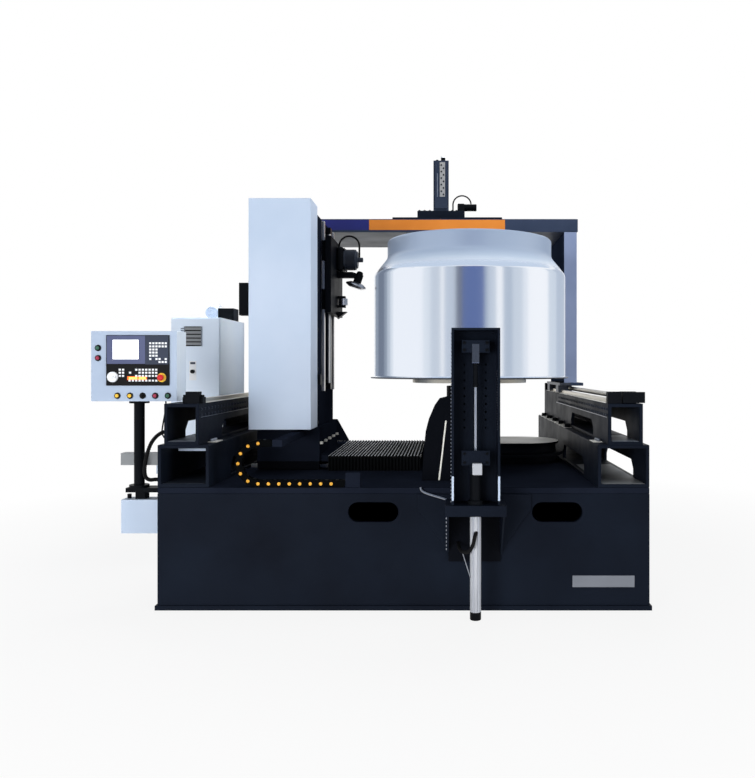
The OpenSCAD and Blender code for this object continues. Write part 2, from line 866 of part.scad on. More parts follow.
module lift_post() {
    color([0.1, 0.12, 0.16]) difference() {
        union() {
            for (x = [lift_x - lift_w/2, lift_x + lift_w/2 - lift_wall])
                block(x, x + lift_wall, lift_front, lift_back, lift_low, lift_top);
            block(lift_x - lift_w/2, lift_x + lift_w/2, lift_back - lift_wall, lift_back, lift_low,
                  lift_top);
            block(lift_x - lift_w/2, lift_x + lift_w/2, lift_front, lift_back, lift_top - lift_wall,
                  lift_top);
            block(lift_x - plate_half, lift_x + plate_half, barrel_y - 30, lift_back, bridge_z,
                  bridge_z + bridge_h);
            // Carriages on the guide rails
            for (x = [lift_x - guide_off, lift_x + guide_off])
                for (z = [lift_low + 30, lift_low + 370])
                    block(x - 30, x + 30, lift_back, guide_front - 6, z, z + 100);
        }
        for (x = [lift_x - guide_off, lift_x + guide_off])
            block(x - guide_rail_w/2 - slide_gap, x + guide_rail_w/2 + slide_gap,
                  guide_front - guide_rail_h - slide_gap,
                  guide_front + cut, lift_low - cut, lift_top);
        for (x = [lift_x - post_hole_off, lift_x + post_hole_off])
            for (i = [0:8])
                bar_y(x, lift_back - lift_wall - cut, lift_back + cut,
                      lift_low + post_hole_up + post_hole_step*i,
                      post_hole_r);
    }
}

module lift_rod() {
    color([0.85, 0.85, 0.87]) {
        bar_z(lift_x, barrel_y, barrel_low + rod_in, bridge_z - clevis_h, rod_d/2);
        block(lift_x - clevis_half, lift_x + clevis_half, barrel_y - 30, barrel_y + 30, bridge_z - clevis_h,
              bridge_z);
    }
}

// Curved black guard behind the lift
module front_guard() {
    color([0.04, 0.04, 0.05]) {
        translate([0, guard_back, 0]) rotate([90, 0, 0]) linear_extrude(height = guard_t)
            polygon(concat([[guard_right, bed_h]],
                           [for (p = guard_curve) [guard_left + p[0], bed_h + guard_h*p[1]]],
                           [[guard_right, bed_h + guard_h]]));
        block(guard_left, guard_right, guard_back, guard_back + guard_foot, bed_h, bed_h + guard_t);
    }
}

// Bellows over the column's way: pleated top and sides
function pleat_line(off) = [for (i = [0:2*pleats]) [bellows_x + bellows_l*i/(2*pleats),
      (i%2)*-pleat_d + off]];
function pleat_band() = concat(pleat_line(0), [for (i = [2*pleats:-1:0]) pleat_line(-bellows_t)[i]]);

module way_bellows() {
    z1 = bed_h + bellows_h;
    color([0.06, 0.06, 0.07]) {
        translate([0, bellows_y + bellows_w, z1]) rotate([90, 0,
              0]) linear_extrude(height = bellows_w) polygon(pleat_band());
        for (side = [0, 1])
            translate([0, bellows_y + side*bellows_w, bed_h + slide_gap]) mirror([0, 1 - side, 0])
                linear_extrude(height = bellows_h - pleat_d - bellows_t - 2*slide_gap) polygon(pleat_band());
    }
}

// Cable chain: alternate narrow and wide links from the bed, round the bend, to the column's arm
function chain_pin(i) = let (bend = chain_low_links, step = 180/chain_bend_links,
      x_bend = chain_right - chain_low_links*chain_pitch,
    r = chain_pitch/(2*sin(step/2)))
    i <= bend ? [chain_right - i*chain_pitch, chain_low_z]
    : i <= bend + chain_bend_links ? [x_bend - r*sin((i - bend)*step),
          chain_low_z + r - r*cos((i - bend)*step)]
    : [x_bend + (i - bend - chain_bend_links)*chain_pitch, chain_low_z + 2*r];
chain_links = chain_low_links + chain_bend_links + 1;
chain_top_z = chain_pin(chain_links)[1];
chain_arm_x = chain_pin(chain_links)[0] + chain_h/2 + chain_gap;

module chain_link(a, b, half) {
    d = b - a;
    l = norm(d);
    translate([a[0], chain_y, a[1]]) rotate([0, -atan2(d[1], d[0]), 0]) {
        for (y = [-half, half - chain_plate]) {
            block(0, l, y, y + chain_plate, -chain_h/2, chain_h/2);
            bar_y(0, y, y + chain_plate, 0, chain_h/2);
            bar_y(l, y, y + chain_plate, 0, chain_h/2);
        }
        for (z = [-chain_h/2, chain_h/2 - 5])
            block(l/2 - 9, l/2 + 9, -half, half, z, z + 5);
    }
}

module cable_chain() {
    color([0.08, 0.08, 0.09])
        for (i = [0:chain_links - 1])
            chain_link(chain_pin(i), chain_pin(i + 1), chain_w/2 - (i%2)*(chain_plate + slide_gap));
}

// Roller column: saddle on the way, column, front cover, rails and lift drive
module column_saddle() {
    color([0.09, 0.11, 0.15]) {
        difference() {
            union() {
                block(col_left, saddle_right, saddle_front, saddle_back, saddle_low, saddle_top);
                block(saddle_right, nose_right, saddle_front + 30, saddle_back - 30, saddle_low,
                      bed_h + bellows_h);
                for (y = [bed_rail_front, bed_rail_rear])
                    for (x = [col_left + 20, saddle_right - 180])
                        block(x, x + carriage_l, y - carriage_w/2, y + carriage_w/2, bed_h + 8, saddle_low);
                bar_x(saddle_right - feed_grip, nose_right + feed_reach, spindle_y, feed_z, feed_rod_d/2);
                block(saddle_right - 60, nose_right, spindle_y - 40, spindle_y + 40, feed_z - 30,
                      saddle_low);
                // Arm to the cable chain's moving end
                block(chain_arm_x, chain_arm_x + chain_arm_l, chain_y - chain_w/2, saddle_front,
                      chain_top_z - chain_h/2,
                      chain_top_z + chain_h/2);
            }
            for (y = [bed_rail_front, bed_rail_rear])
                block(col_left - cut, nose_right + cut, y - rail_w/2 - slide_gap, y + rail_w/2 + slide_gap,
                      bed_h, bed_h + rail_h + slide_gap);
            block(col_left + 40, saddle_right - 40, saddle_front + 40, saddle_back - 40, saddle_low + 60,
                  saddle_top - 40);
        }
    }
}

module column_body() {
    color([0.09, 0.11, 0.15]) difference() {
        block(col_left, col_right, col_front, col_back, saddle_top, col_top);
        block(col_left + col_wall, col_right - col_wall, col_front + col_wall, col_back - col_wall,
              saddle_top + col_wall, col_top - col_wall);
    }
}

module column_cover() {
    x1 = col_right + cover_lip;
    color([0.72, 0.78, 0.87]) difference() {
        block(col_left, x1, col_front - cover_d, col_front, saddle_top, cover_top);
        block(col_left + cover_wall, x1 - cover_wall, col_front - cover_d + cover_wall, col_front + cut,
              saddle_top + cover_wall, cover_top - cover_wall);
    }
}

module column_rails() {
    color([0.85, 0.84, 0.8])
        for (y = [col_rail_front, col_rail_rear])
            block(col_right, col_right + col_rail_h, y - col_rail_w/2, y + col_rail_w/2, col_rail_low,
                  col_rail_top);
}

// Drive motor on the column's left side, and the bearings of the lift screw
module lift_drive() {
    color([0.1, 0.1, 0.11]) {
        block(col_left - drive_plate_w, col_left, col_front + 5, col_front + 100, drive_low,
              drive_low + drive_h);
        block(col_left - drive_w, col_left - drive_plate_w, col_front + 10, col_front + 95,
              drive_low + 14, drive_low + drive_h - 13);
        for (z = [col_rail_low + 10, col_rail_top - 60])
            difference() {
                block(col_right, carriage_face - 3, lift_screw_y - screw_bearing_half,
                      lift_screw_y + screw_bearing_half, z, z + screw_bearing_h);
                bar_z(lift_screw_x, lift_screw_y, z - cut, z + screw_bearing_h + cut,
                      lift_screw_d/2 + run_gap);
            }
    }
}

module lift_screw() {
    color([0.75, 0.75, 0.74]) bar_z(lift_screw_x, lift_screw_y, col_rail_low + 12, col_rail_top - 12,
          lift_screw_d/2);
}

// Roller head: saddle plate with carriages, tool arms, motor and two rollers
module roller_saddle() {
    color([0.13, 0.14, 0.17]) difference() {
        union() {
            block(head_left, head_right, head_front, head_rear, head_low, head_top);
            for (y = [col_rail_front, col_rail_rear])
                for (z = [head_low + 30, head_top - 30 - carriage_l])
                    block(col_right + 10, head_left, y - 40, y + 40, z, z + carriage_l);
            block(col_right + 1, head_left, lift_screw_y - 40, lift_screw_y + 40, head_low + lift_nut_up,
                  head_low + lift_nut_up + lift_nut_h);
        }
        for (y = [col_rail_front, col_rail_rear])
            block(col_right - cut, col_right + col_rail_h + slide_gap, y - col_rail_w/2 - slide_gap,
                  y + col_rail_w/2 + slide_gap, head_low - cut, head_top + cut);
        bar_z(lift_screw_x, lift_screw_y, head_low - cut, head_top + cut, lift_screw_d/2 + run_gap);
    }
}

// Shapes in the tilted frame of the forming roller
module at_roller() {
    translate([roller_x, spindle_y, roller_z]) rotate([0, roller_tilt, 0]) children();
}

hub_r = 34;
spigot_r = 16;
bead_spigot_r = 10;
fork_t = 20;
roller_gap = 0.5;

module tool_arms() {
    color([0.16, 0.17, 0.2]) difference() {
        union() {
            at_roller() translate([0, 0, roller_t/2 + roller_gap]) cylinder(h = 74, r = hub_r);
            difference() {
                block(head_right, roller_x + 6, spindle_y - 26, spindle_y + 26, roller_z + 62,
                      roller_z + 112);
                at_roller() translate([0, 0, roller_t/2 + roller_gap + 74]) cylinder(h = 80,
                      r = hub_r + 60);
            }
            for (z = [bead_z - bead_r - fork_t/2, bead_z + bead_r - fork_t/2])
                block(head_right, bead_x + 18, spindle_y - 30, spindle_y + 30, z, z + fork_t);
            translate([0, spindle_y + 40, 0]) rotate([90, 0, 0]) linear_extrude(height = 80)
                polygon([[head_right, head_low - 27], [head_right, head_low + 32], [head_right + 76,
                      head_low + 32]]);
        }
        at_roller() translate([0, 0, roller_t/2]) cylinder(h = 61, r = spigot_r + run_gap);
        bar_z(bead_x, spindle_y, bead_z - bead_r - fork_t, bead_z + bead_r + fork_t,
              bead_spigot_r + run_gap);
    }
}

module forming_roller() {
    lip = 10;
    color([0.8, 0.8, 0.82]) at_roller() {
        rotate_extrude($fn = 96)
            polygon(concat([[0, -roller_t/2], [roller_r - 34, -roller_t/2]], arc(roller_r - lip, 0, lip,
                  -60, 60, 8),
                           [[roller_r - 34, roller_t/2], [0, roller_t/2]]));
        cylinder(h = roller_t/2 + 56, r = spigot_r);
    }
}

module beading_roller() {
    color([0.8, 0.8, 0.82]) {
        bar_z(bead_x, spindle_y, bead_z - bead_r + fork_t/2 + roller_gap,
              bead_z + bead_r - fork_t/2 - roller_gap, bead_r);
        bar_z(bead_x, spindle_y, bead_z - bead_r - fork_t/2, bead_z + bead_r + fork_t/2, bead_spigot_r);
    }
}

module head_motor() {
    r = head_motor_d/2;
    cable_r = 8;
    loop_r = 85;
    loop_z = motor_z + r + 16;
    flange_x = head_right + 20;
    can_x = head_right + 155;
    cap_x = can_x + 13;
    plug_x = head_right + 211;
    color([0.2, 0.21, 0.24]) {
        block(head_right, flange_x, spindle_y - r, spindle_y + r, motor_z - r, motor_z + r);
        bar_x(flange_x, can_x, spindle_y, motor_z, r);
        bar_x(can_x, cap_x, spindle_y, motor_z, r*0.85);
        bar_x(cap_x, plug_x, spindle_y, motor_z, r*0.2);
        // Cable from the motor's end over to its flange
        translate([head_right + 10 + loop_r, spindle_y, loop_z]) rotate([90, 0, 0])
            rotate_extrude(angle = 180) translate([loop_r, 0]) circle(r = cable_r);
        bar_z(head_right + 10, spindle_y, motor_z + r, loop_z, cable_r);
        bar_z(head_right + 10 + 2*loop_r, spindle_y, motor_z, loop_z, cable_r);
    }
}

// Gantry: posts on their carriages, beam with the tail press's way
module gantry_posts() {
    color([0.1, 0.12, 0.16]) both_sides() difference() {
        block(post_mid - post_w/2, post_mid + post_w/2, gantry_front, gantry_back, post_z, beam_z);
        block(post_mid - post_w/2 + gantry_wall, post_mid + post_w/2 - gantry_wall,
              gantry_front + gantry_wall,
              gantry_back - gantry_wall, post_z + gantry_wall, beam_z - gantry_wall);
    }
}

module ram_slot(z0, z1, more) {
    block(tail_x - slot_half - more, tail_x + tail_travel + slot_half + more, tail_y - slot_half - more,
          tail_y + slot_half + more, z0, z1);
}

module gantry_beam() {
    color([0.15, 0.17, 0.22]) {
        difference() {
            block(-beam_half, beam_half, gantry_front, gantry_back, beam_z, beam_top);
            difference() {
                block(-beam_half + gantry_wall, beam_half - gantry_wall, gantry_front + gantry_wall,
                      gantry_back - gantry_wall, beam_z + gantry_wall, beam_top - gantry_wall);
                ram_slot(beam_z, beam_top, gantry_wall);
            }
            ram_slot(beam_z - cut, beam_top + cut, 0);
        }
        difference() {
            block(tail_x - tail_way_left, tail_x + tail_way_right, tail_y - tail_slide_d/2 - 20,
                  tail_y + tail_slide_d/2 + 20, beam_top, way_top);
            ram_slot(beam_top - cut, way_top + cut, 0);
        }
    }
}

module gantry_carriages() {
    color([0.3, 0.31, 0.33]) difference() {
        union() {
            both_sides() {
                block(up_in, up_in + up_w - 10, gantry_front, gantry_back, foot_plate_z, post_z);
                for (y = [gantry_front + carriage_inset, gantry_back - carriage_inset - carriage_l])
                    block(rail_x - carriage_w/2, rail_x + carriage_w/2, y, y + carriage_l, stand_top + 8,
                          foot_plate_z);
            }
            block(screw_x - nut_half, screw_x + nut_half, gantry_mid - nut_l/2, gantry_mid + nut_l/2,
                  stand_top + 6, foot_plate_z);
        }
        both_sides() block(rail_x - rail_w/2 - slide_gap, rail_x + rail_w/2 + slide_gap,
              gantry_front - cut, gantry_back + cut,
                           stand_top, stand_top + rail_h + slide_gap);
        bar_y(screw_x, gantry_mid - nut_l, gantry_mid + nut_l, screw_z, screw_d/2 + run_gap);
    }
}

module gantry_screw() {
    color([0.75, 0.73, 0.7]) bar_y(screw_x, -bearing_in - bearing_l/2 + 2, bearing_in + bearing_l/2 - 2,
          screw_z, screw_d/2);
}

// Tail press: slide along the beam, cylinder, gear motor and ram
module tail_slide() {
    color([0.16, 0.17, 0.21]) difference() {
        block(tail_x - tail_slide_w/2, tail_x + tail_slide_w/2, tail_y - tail_slide_d/2,
              tail_y + tail_slide_d/2,
              slide_z, slide_top);
        bar_z(tail_x, tail_y, slide_z - cut, slide_top + cut, ram_d/2 + slide_gap);
    }
}

module tail_cylinder() {
    color([0.2, 0.21, 0.24]) difference() {
        union() {
            block(tail_x - tail_side/2, tail_x + tail_side/2, tail_y - tail_side/2, tail_y + tail_side/2,
                  slide_top, slide_top + tail_h);
            block(tail_x - tail_side/2 + 15, tail_x + tail_side/2 - 15, tail_y - tail_side/2 - 20,
                  tail_y - tail_side/2,
                  slide_top + 30, slide_top + tail_h - 20);
            bar_z(tail_x + 20, tail_y - 20, slide_top + tail_h, slide_top + tail_h + 54, 22);
            bar_z(tail_x - 40, tail_y + 20, slide_top + tail_h, slide_top + tail_h + 30, 14);
        }
        bar_z(tail_x, tail_y, slide_top - cut, ram_top + 20, ram_d/2 + run_gap);
    }
}

module tail_gearmotor() {
    cable_r = 7;
    loop_left = gear_x - 45;
    loop_right = gear_x + 134;
    loop_r = (loop_right - loop_left)/2;
    loop_z = slide_top + 85;
    z = slide_top + gear_up + gear_r;
    color([0.18, 0.19, 0.21]) {
        block(gear_x, tail_x + tail_slide_w/2, tail_y - gear_r, tail_y + gear_r, slide_top, z + gear_r);
        bar_x(tail_x + tail_slide_w/2, gear_x + gear_l, tail_y, z, gear_r);
        // Cable arching from the slide over to the motor
        translate([loop_left + loop_r, tail_y, loop_z]) rotate([90, 0, 0])
            rotate_extrude(angle = 180) translate([loop_r, 0]) circle(r = cable_r);
        bar_z(loop_left, tail_y, slide_top, loop_z, cable_r);
        bar_z(loop_right, tail_y, z, loop_z, cable_r);
    }
}

module tail_ram() {
    color([0.8, 0.8, 0.82]) {
        bar_z(tail_x, tail_y, pad_top, ram_top, ram_d/2);
        bar_z(tail_x, tail_y, pad_top - pad_t, pad_top, pad_d/2);
    }
}

// Control panel on its pole, with the arm on the bed's side
module panel_post() {
    color([0.06, 0.07, 0.09]) {
        bar_z(panel_x, pole_y, arm_top + pole_flange_t, panel_z - pole_flange_t, pole_d/2);
        bar_z(panel_x, pole_y, arm_top, arm_top + pole_flange_t, pole_flange_d/2);
        bar_z(panel_x, pole_y, panel_z - pole_flange_t, panel_z, pole_flange_d/2);
        block(panel_x - arm_over, -bx, pole_y - arm_half, pole_y + arm_half, arm_top - arm_h, arm_top);
    }
}

// A collar on the panel, a bore for a stem, and a button with its stem
module collar(x, y, z) {
    difference() {
        bar_y(x, y - collar_t, y, z, collar_d/2);
        bar_y(x, y - collar_t - cut, y, z, button_d/2 + slide_gap);
    }
}

module stem_bore(x, y, z) {
    bar_y(x, y - cut, y + stem_l + button_travel + 1, z, stem_d/2 + run_gap);
}

module push_button(x, y, z) {
    face = y - button_travel - 1;
    bar_y(x, face - cap_t, face, z, button_d/2);
    bar_y(x, face, y + stem_l, z, stem_d/2);
}

module panel_box() {
    color([0.8, 0.84, 0.9]) {
        difference() {
            block(panel_x - panel_w/2, panel_x + panel_w/2, panel_front, panel_rear, panel_z, panel_top);
            for (i = [0:4])
                stem_bore(row_x + i*row_step, panel_front, row_z);
            stem_bore(side_x, panel_front, side_green_z);
            stem_bore(side_x, panel_front, side_red_z);
            stem_bore(stop_x, panel_front, stop_z);
            stem_bore(wheel_x, panel_front, wheel_z);
        }
        for (i = [0:4])
            collar(row_x + i*row_step, panel_front, row_z);
        collar(side_x, panel_front, side_green_z);
        collar(side_x, panel_front, side_red_z);
    }
}

// Numeric control: plate with a recessed screen and raised keys
module key_field(x0, z0, columns, rows, pitch, key) {
    for (i = [0:columns - 1])
        for (j = [0:rows - 1])
            block(x0 + i*pitch, x0 + i*pitch + key, unit_front - key_t, unit_front, z0 + j*pitch,
                  z0 + j*pitch + key);
}

module control_unit() {
    color([0.2, 0.22, 0.27]) {
        difference() {
            block(unit_x - unit_w/2, unit_x + unit_w/2, unit_front, panel_front, unit_low,
                  unit_low + unit_h);
            block(unit_x + 6 - screen_w, unit_x + 6, unit_front - cut, unit_front + 4, unit_low + 174,
                  unit_low + 174 + screen_h);
            for (p = [[stop_x, stop_z], [wheel_x, wheel_z]])
                bar_y(p[0], unit_front - cut, panel_front + cut, p[1], stem_d/2 + run_gap);
        }
        key_field(unit_x + 66, unit_low + 150, 5, 6, 25, 20);
        key_field(unit_x - 70, unit_low + 30, 8, 4, 23, 18);
    }
}

module side_green_button() {
    color([0.15, 0.6, 0.3]) push_button(side_x, panel_front, side_green_z);
}
module side_red_button() {
    color([0.8, 0.1, 0.15]) push_button(side_x, panel_front, side_red_z);
}
module left_lamp_button() {
    color([0.95, 0.8, 0.15]) push_button(row_x, panel_front, row_z);
}
module right_lamp_button() {
    color([0.95, 0.8, 0.15]) push_button(row_x + row_step, panel_front, row_z);
}
module mode_selector() {
    x = row_x + 2*row_step;
    color([0.05, 0.05, 0.06]) {
        push_button(x, panel_front, row_z);
        block(x - 4, x + 4, panel_front - button_travel - cap_t - 13,
              panel_front - button_travel - cap_t - 1,
              row_z - button_d/2 + 1, row_z + button_d/2 - 1);
    }
}
module stop_button() {
    color([0.8, 0.1, 0.12]) push_button(row_x + 3*row_step, panel_front, row_z);
}
module start_button() {
    color([0.15, 0.6, 0.3]) push_button(row_x + 4*row_step, panel_front, row_z);
}
module emergency_stop() {
    face = unit_front - button_travel - 1;
    color([0.85, 0.1, 0.1]) {
        bar_y(stop_x, face - stop_t, face, stop_z, stop_r);
        bar_y(stop_x, face, panel_front + stem_l, stop_z, stem_d/2);
    }
}
module handwheel() {
    color([0.9, 0.9, 0.9]) {
        bar_y(wheel_x, unit_front - wheel_t, unit_front - 1, wheel_z, wheel_r);
        bar_y(wheel_x + wheel_r - 11, unit_front - wheel_t - 16, unit_front - wheel_t, wheel_z, 6);
        bar_y(wheel_x, unit_front - 1, panel_front + stem_l, wheel_z, stem_d/2);
    }
}

// Junction box under the panel's arm, and the cable trunk on the lower stand
module side_boxes() {
    jbox_top = arm_top - arm_h - jbox_drop;
    stem_right = jbox_right - jbox_stem_in;
    color([0.72, 0.78, 0.86]) {
        block(jbox_right - jbox_w, jbox_right, pole_y - jbox_d/2, pole_y + jbox_d/2, jbox_top - jbox_h,
              jbox_top);
        block(stem_right - jbox_stem_w, stem_right, pole_y - jbox_stem_half, pole_y + jbox_stem_half,
              jbox_top, arm_top - arm_h);
        bar_z(jbox_right - jbox_w + gland_in, pole_y, jbox_top, jbox_top + gland_h, gland_r);
        block(-bx - trunk_w, -bx, trunk_y, trunk_y + trunk_d, trunk_top - trunk_h, trunk_top);
        block(-bx - trunk_foot_w, -bx, trunk_y + trunk_foot_in, trunk_y + trunk_d - trunk_foot_in,
              trunk_top - trunk_h - trunk_foot_h, trunk_top - trunk_h);
    }
}

// Electrical cabinet beside the bed, its blower, door and isolator
module cabinet_body() {
    y0 = cab_front + door_t + door_gap;
    color([0.72, 0.76, 0.84]) {
        difference() {
            block(cab_left, cab_right, y0, cab_back, 0, cab_h);
            block(cab_left + cab_wall, cab_right - cab_wall, y0 - cut, cab_back - cab_wall, plinth_h,
                  cab_h - cab_wall);
        }
        // Cooling blower on the roof
        block(blower_x, blower_x + blower_w, blower_y, blower_y + blower_d, cab_h, cab_h + blower_h);
        bar_x(blower_x - fan_l, blower_x, blower_y + blower_d/2, cab_h + blower_r, blower_r);
        // Hinge sockets of the door
        for (z = [220, cab_h - 300])
            difference() {
                union() {
                    bar_z(cab_left - hinge_r, cab_front + door_t/2, z, z + hinge_h, hinge_r);
                    block(cab_left - hinge_r, cab_left + 8, y0, y0 + 8, z, z + hinge_h);
                    block(cab_left - 2*hinge_r, cab_left - hinge_r, cab_front + door_t/2, y0 + 8, z,
                          z + hinge_h);
                }
                bar_z(cab_left - hinge_r, cab_front + door_t/2, z + 10, z + hinge_h + cut,
                      hinge_r/2 + run_gap);
            }
    }
}

module cabinet_door() {
    x0 = cab_left + 1;
    x1 = cab_right - 4;
    color([0.78, 0.82, 0.89]) difference() {
        union() {
            block(x0, x1, cab_front, cab_front + door_t, 60, cab_h - 10);
            for (z = [260, cab_h - 260]) {
                bar_z(cab_left - hinge_r, cab_front + door_t/2, z + slide_gap, z + 50, hinge_r);
                bar_z(cab_left - hinge_r, cab_front + door_t/2, z - 28, z + 50, hinge_r/2);
                block(cab_left - hinge_r, x0 + 1, cab_front + door_t/2 - 6, cab_front + door_t/2 + 6,
                      z + slide_gap, z + 50);
            }
        }
        bar_y(knob_x, cab_front - cut, cab_front + door_t + cut, knob_z, knob_stem_r + run_gap);
        for (i = [0:8])
            block(x0 + 80, x1 - 140, cab_front - cut, cab_front + door_t + cut,
                  cab_h - vent_low + vent_step*i,
                  cab_h - vent_low + vent_step*i + vent_h);
    }
}

module isolator_knob() {
    color([0.85, 0.1, 0.1]) {
        bar_y(knob_x, cab_front - 22, cab_front - 1, knob_z, knob_r);
        block(knob_x - 5, knob_x + 5, cab_front - 40, cab_front - 22, knob_z - knob_r + 2,
              knob_z + knob_r - 2);
        bar_y(knob_x, cab_front - 1, cab_front + door_t, knob_z, knob_stem_r);
    }
}

// Lead and ribbed hose between the panel, the stand and the trunk
module panel_lead() {
    color([0.05, 0.05, 0.05]) cord(lead_route, lead_d, 20, 8);
}
module panel_hose() {
    color([0.05, 0.05, 0.05]) ribbed_hose(hose_route, hose_d, hose_bore_d, hose_rib, hose_ribs, 8);
}

bed_front_plate();
bed_walls();
bed_top_plate();
lower_stands();
upper_stands();
linear_rails();
gantry_drive();
spindle_housing();
spindle_bearings();
spindle_motor();
right_way_cover();
front_bracket();
lift_cylinder();
front_guard();
way_bellows();
cable_chain();
feed_cylinder();
panel_post();
panel_box();
control_unit();
side_boxes();
cabinet_body();
panel_lead();
panel_hose();
column_saddle();
column_body();
column_cover();
column_rails();
lift_drive();
lift_screw();
roller_saddle();
tool_arms();
head_motor();
forming_roller();
beading_roller();
gantry_posts();
gantry_beam();
gantry_carriages();
gantry_screw();
tail_slide();
tail_cylinder();
tail_gearmotor();
tail_ram();
spindle_shaft();
clamp_disc();
mandrel();
spun_vessel();
lift_post();
lift_rod();
cabinet_door();
isolator_knob();
side_green_button();
side_red_button();
left_lamp_button();
right_lamp_button();
mode_selector();
stop_button();
start_button();
emergency_stop();
handwheel();
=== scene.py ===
# %% [markdown]
# # A metal spinning lathe, dressed for its portrait
# A spinning lathe turns a metal blank and presses it with rollers over a form until it is a vessel. Its CAD
# model comes in as a frame that must not move. This lesson gives every part its finish, softens the edges
# that catch light, and adds the small things that a workshop machine carries: bolts, keys, vents and
# cables.

# %% Load the frame and keep its size
import json
import math

import bpy
from mathutils import Matrix, Vector


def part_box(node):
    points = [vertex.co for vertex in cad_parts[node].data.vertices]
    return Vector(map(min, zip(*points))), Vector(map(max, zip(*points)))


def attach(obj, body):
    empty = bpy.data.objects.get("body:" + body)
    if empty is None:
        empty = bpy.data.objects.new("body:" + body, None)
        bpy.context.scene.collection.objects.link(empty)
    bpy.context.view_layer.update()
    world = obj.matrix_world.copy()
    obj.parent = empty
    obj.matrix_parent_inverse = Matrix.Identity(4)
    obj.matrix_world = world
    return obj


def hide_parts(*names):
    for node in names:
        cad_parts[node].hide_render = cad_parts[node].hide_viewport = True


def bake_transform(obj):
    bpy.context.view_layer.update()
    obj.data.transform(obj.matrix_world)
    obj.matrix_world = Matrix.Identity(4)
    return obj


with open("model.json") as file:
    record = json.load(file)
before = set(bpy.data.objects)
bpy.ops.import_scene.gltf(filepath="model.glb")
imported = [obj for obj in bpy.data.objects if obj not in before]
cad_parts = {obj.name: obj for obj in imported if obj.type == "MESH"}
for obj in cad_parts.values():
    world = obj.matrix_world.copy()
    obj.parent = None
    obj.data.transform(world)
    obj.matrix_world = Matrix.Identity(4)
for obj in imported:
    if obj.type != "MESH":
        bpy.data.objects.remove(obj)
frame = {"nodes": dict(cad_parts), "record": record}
nodes = frame["nodes"]
node_body = {n: b for b, group in frame["record"]["behaviour"]["bodies"].items() for n in group}
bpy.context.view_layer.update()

# %% [markdown]
# The photograph was taken level and square to the machine, at eye height. A tilted camera could frame it
# too, but then upright edges would lean. A level camera keeps them upright, and the lens shift moves the
# picture instead.

# %% Camera
PHOTO_W = 755
PHOTO_H = 778
FOCUS_PX = 780
CENTRE_PX = (447, 369)
EYE = (0.283, -6.72, 1.566)
SENSOR_MM = 36
camera_data = bpy.data.cameras.new("portrait_camera")
camera_data.sensor_fit = "AUTO"
camera_data.sensor_width = SENSOR_MM
camera_data.lens = SENSOR_MM * FOCUS_PX / PHOTO_H
camera_data.shift_x = -(CENTRE_PX[0] - PHOTO_W / 2) / PHOTO_H
camera_data.shift_y = (CENTRE_PX[1] - PHOTO_H / 2) / PHOTO_H
camera_data.clip_end = 200
camera = bpy.data.objects.new("portrait_camera", camera_data)
camera.location = EYE
camera.rotation_euler = (math.radians(90), 0, 0)
bpy.context.scene.collection.objects.link(camera)
bpy.context.scene.camera = camera
print("lens", round(camera_data.lens, 2), "mm")

# %% [markdown]
# Operators work on whatever is selected, so each step starts from an empty selection in object mode. Meshes
# could be written in code alone, but operators are what a modeller's hands use, and they keep a mesh sound.
# A finished piece keeps its place in its mesh: the object itself stays at the origin, as the CAD nodes do.

# %% Selecting and finishing by hand
def fresh():
    """Leaves edit mode and selects nothing."""
    if bpy.context.object and bpy.context.object.mode != "OBJECT":
        bpy.ops.object.mode_set(mode="OBJECT")
    bpy.ops.object.select_all(action="DESELECT")


def pick(piece):
    """Selects one piece alone."""
    fresh()
    piece.select_set(True)
    bpy.context.view_layer.objects.active = piece


def edit(piece):
    """Goes into edit mode with all of one piece selected."""
    pick(piece)
    bpy.ops.object.mode_set(mode="EDIT")
    bpy.ops.mesh.select_all(action="SELECT")


def leave_edit():
    bpy.ops.object.mode_set(mode="OBJECT")


def named(piece, name):
    piece.name = name
    piece.data.name = name
    return piece


def settle(name):
    """Names the active piece and puts its place, turn and size into its mesh."""
    bpy.ops.object.transform_apply(location=True, rotation=True, scale=True)
    return named(bpy.context.object, name)


def smooth(piece, angle=35):
    pick(piece)
    bpy.ops.object.shade_smooth_by_angle(angle=math.radians(angle))
    return piece


def apply_modifiers(piece):
    pick(piece)
    for modifier in list(piece.modifiers):
        bpy.ops.object.modifier_apply(modifier=modifier.name)


def flat_faces(piece):
    """Lets the wide faces set the normals, so that the shading turns in the rounded edges alone."""
    weigh = piece.modifiers.new("face_weight", "WEIGHTED_NORMAL")
    weigh.keep_sharp = True
    apply_modifiers(piece)
    return piece


def wear(piece, finish, body):
    """Gives a piece its finish and the body that it rides on."""
    piece.data.materials.clear()
    piece.data.materials.append(finish)
    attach(piece, body)
    return piece


print("hand tools ready")

# %% [markdown]
# Most small parts of the machine are blocks with broken edges. A block starts as a cube of the right size,
# and one bevel runs round all its edges. A bevel modifier would do as well, but this way the piece is
# finished at once.

# %% Rounded blocks
def rounded_block(name, lo, hi, edge=0.003, segments=2):
    fresh()
    lo, hi = Vector(lo), Vector(hi)
    bpy.ops.mesh.primitive_cube_add(size=1, location=(lo + hi) / 2)
    bpy.context.object.scale = hi - lo
    piece = settle(name)
    edit(piece)
    bpy.ops.mesh.bevel(offset=edge, segments=segments, affect="EDGES", clamp_overlap=True)
    return flat_faces(smooth(piece))


def block(name, lo, hi, edge, finish, body, segments=2):
    """A rounded block as a finished piece."""
    return wear(rounded_block(name, lo, hi, edge, segments), finish, body)


print("blocks ready")

# %% [markdown]
# Round parts are turned, in the workshop and here. The spin operator could sweep a profile round the axis.
# A ring that is extruded and resized from one profile point to the next gives the same form, with no seam
# to merge.

# %% Turned forms
TO_FRONT = Vector((0, -1, 0))
TO_TOP = Vector((0, 0, 1))
TO_RIGHT = Vector((1, 0, 0))
TO_LEFT = Vector((-1, 0, 0))


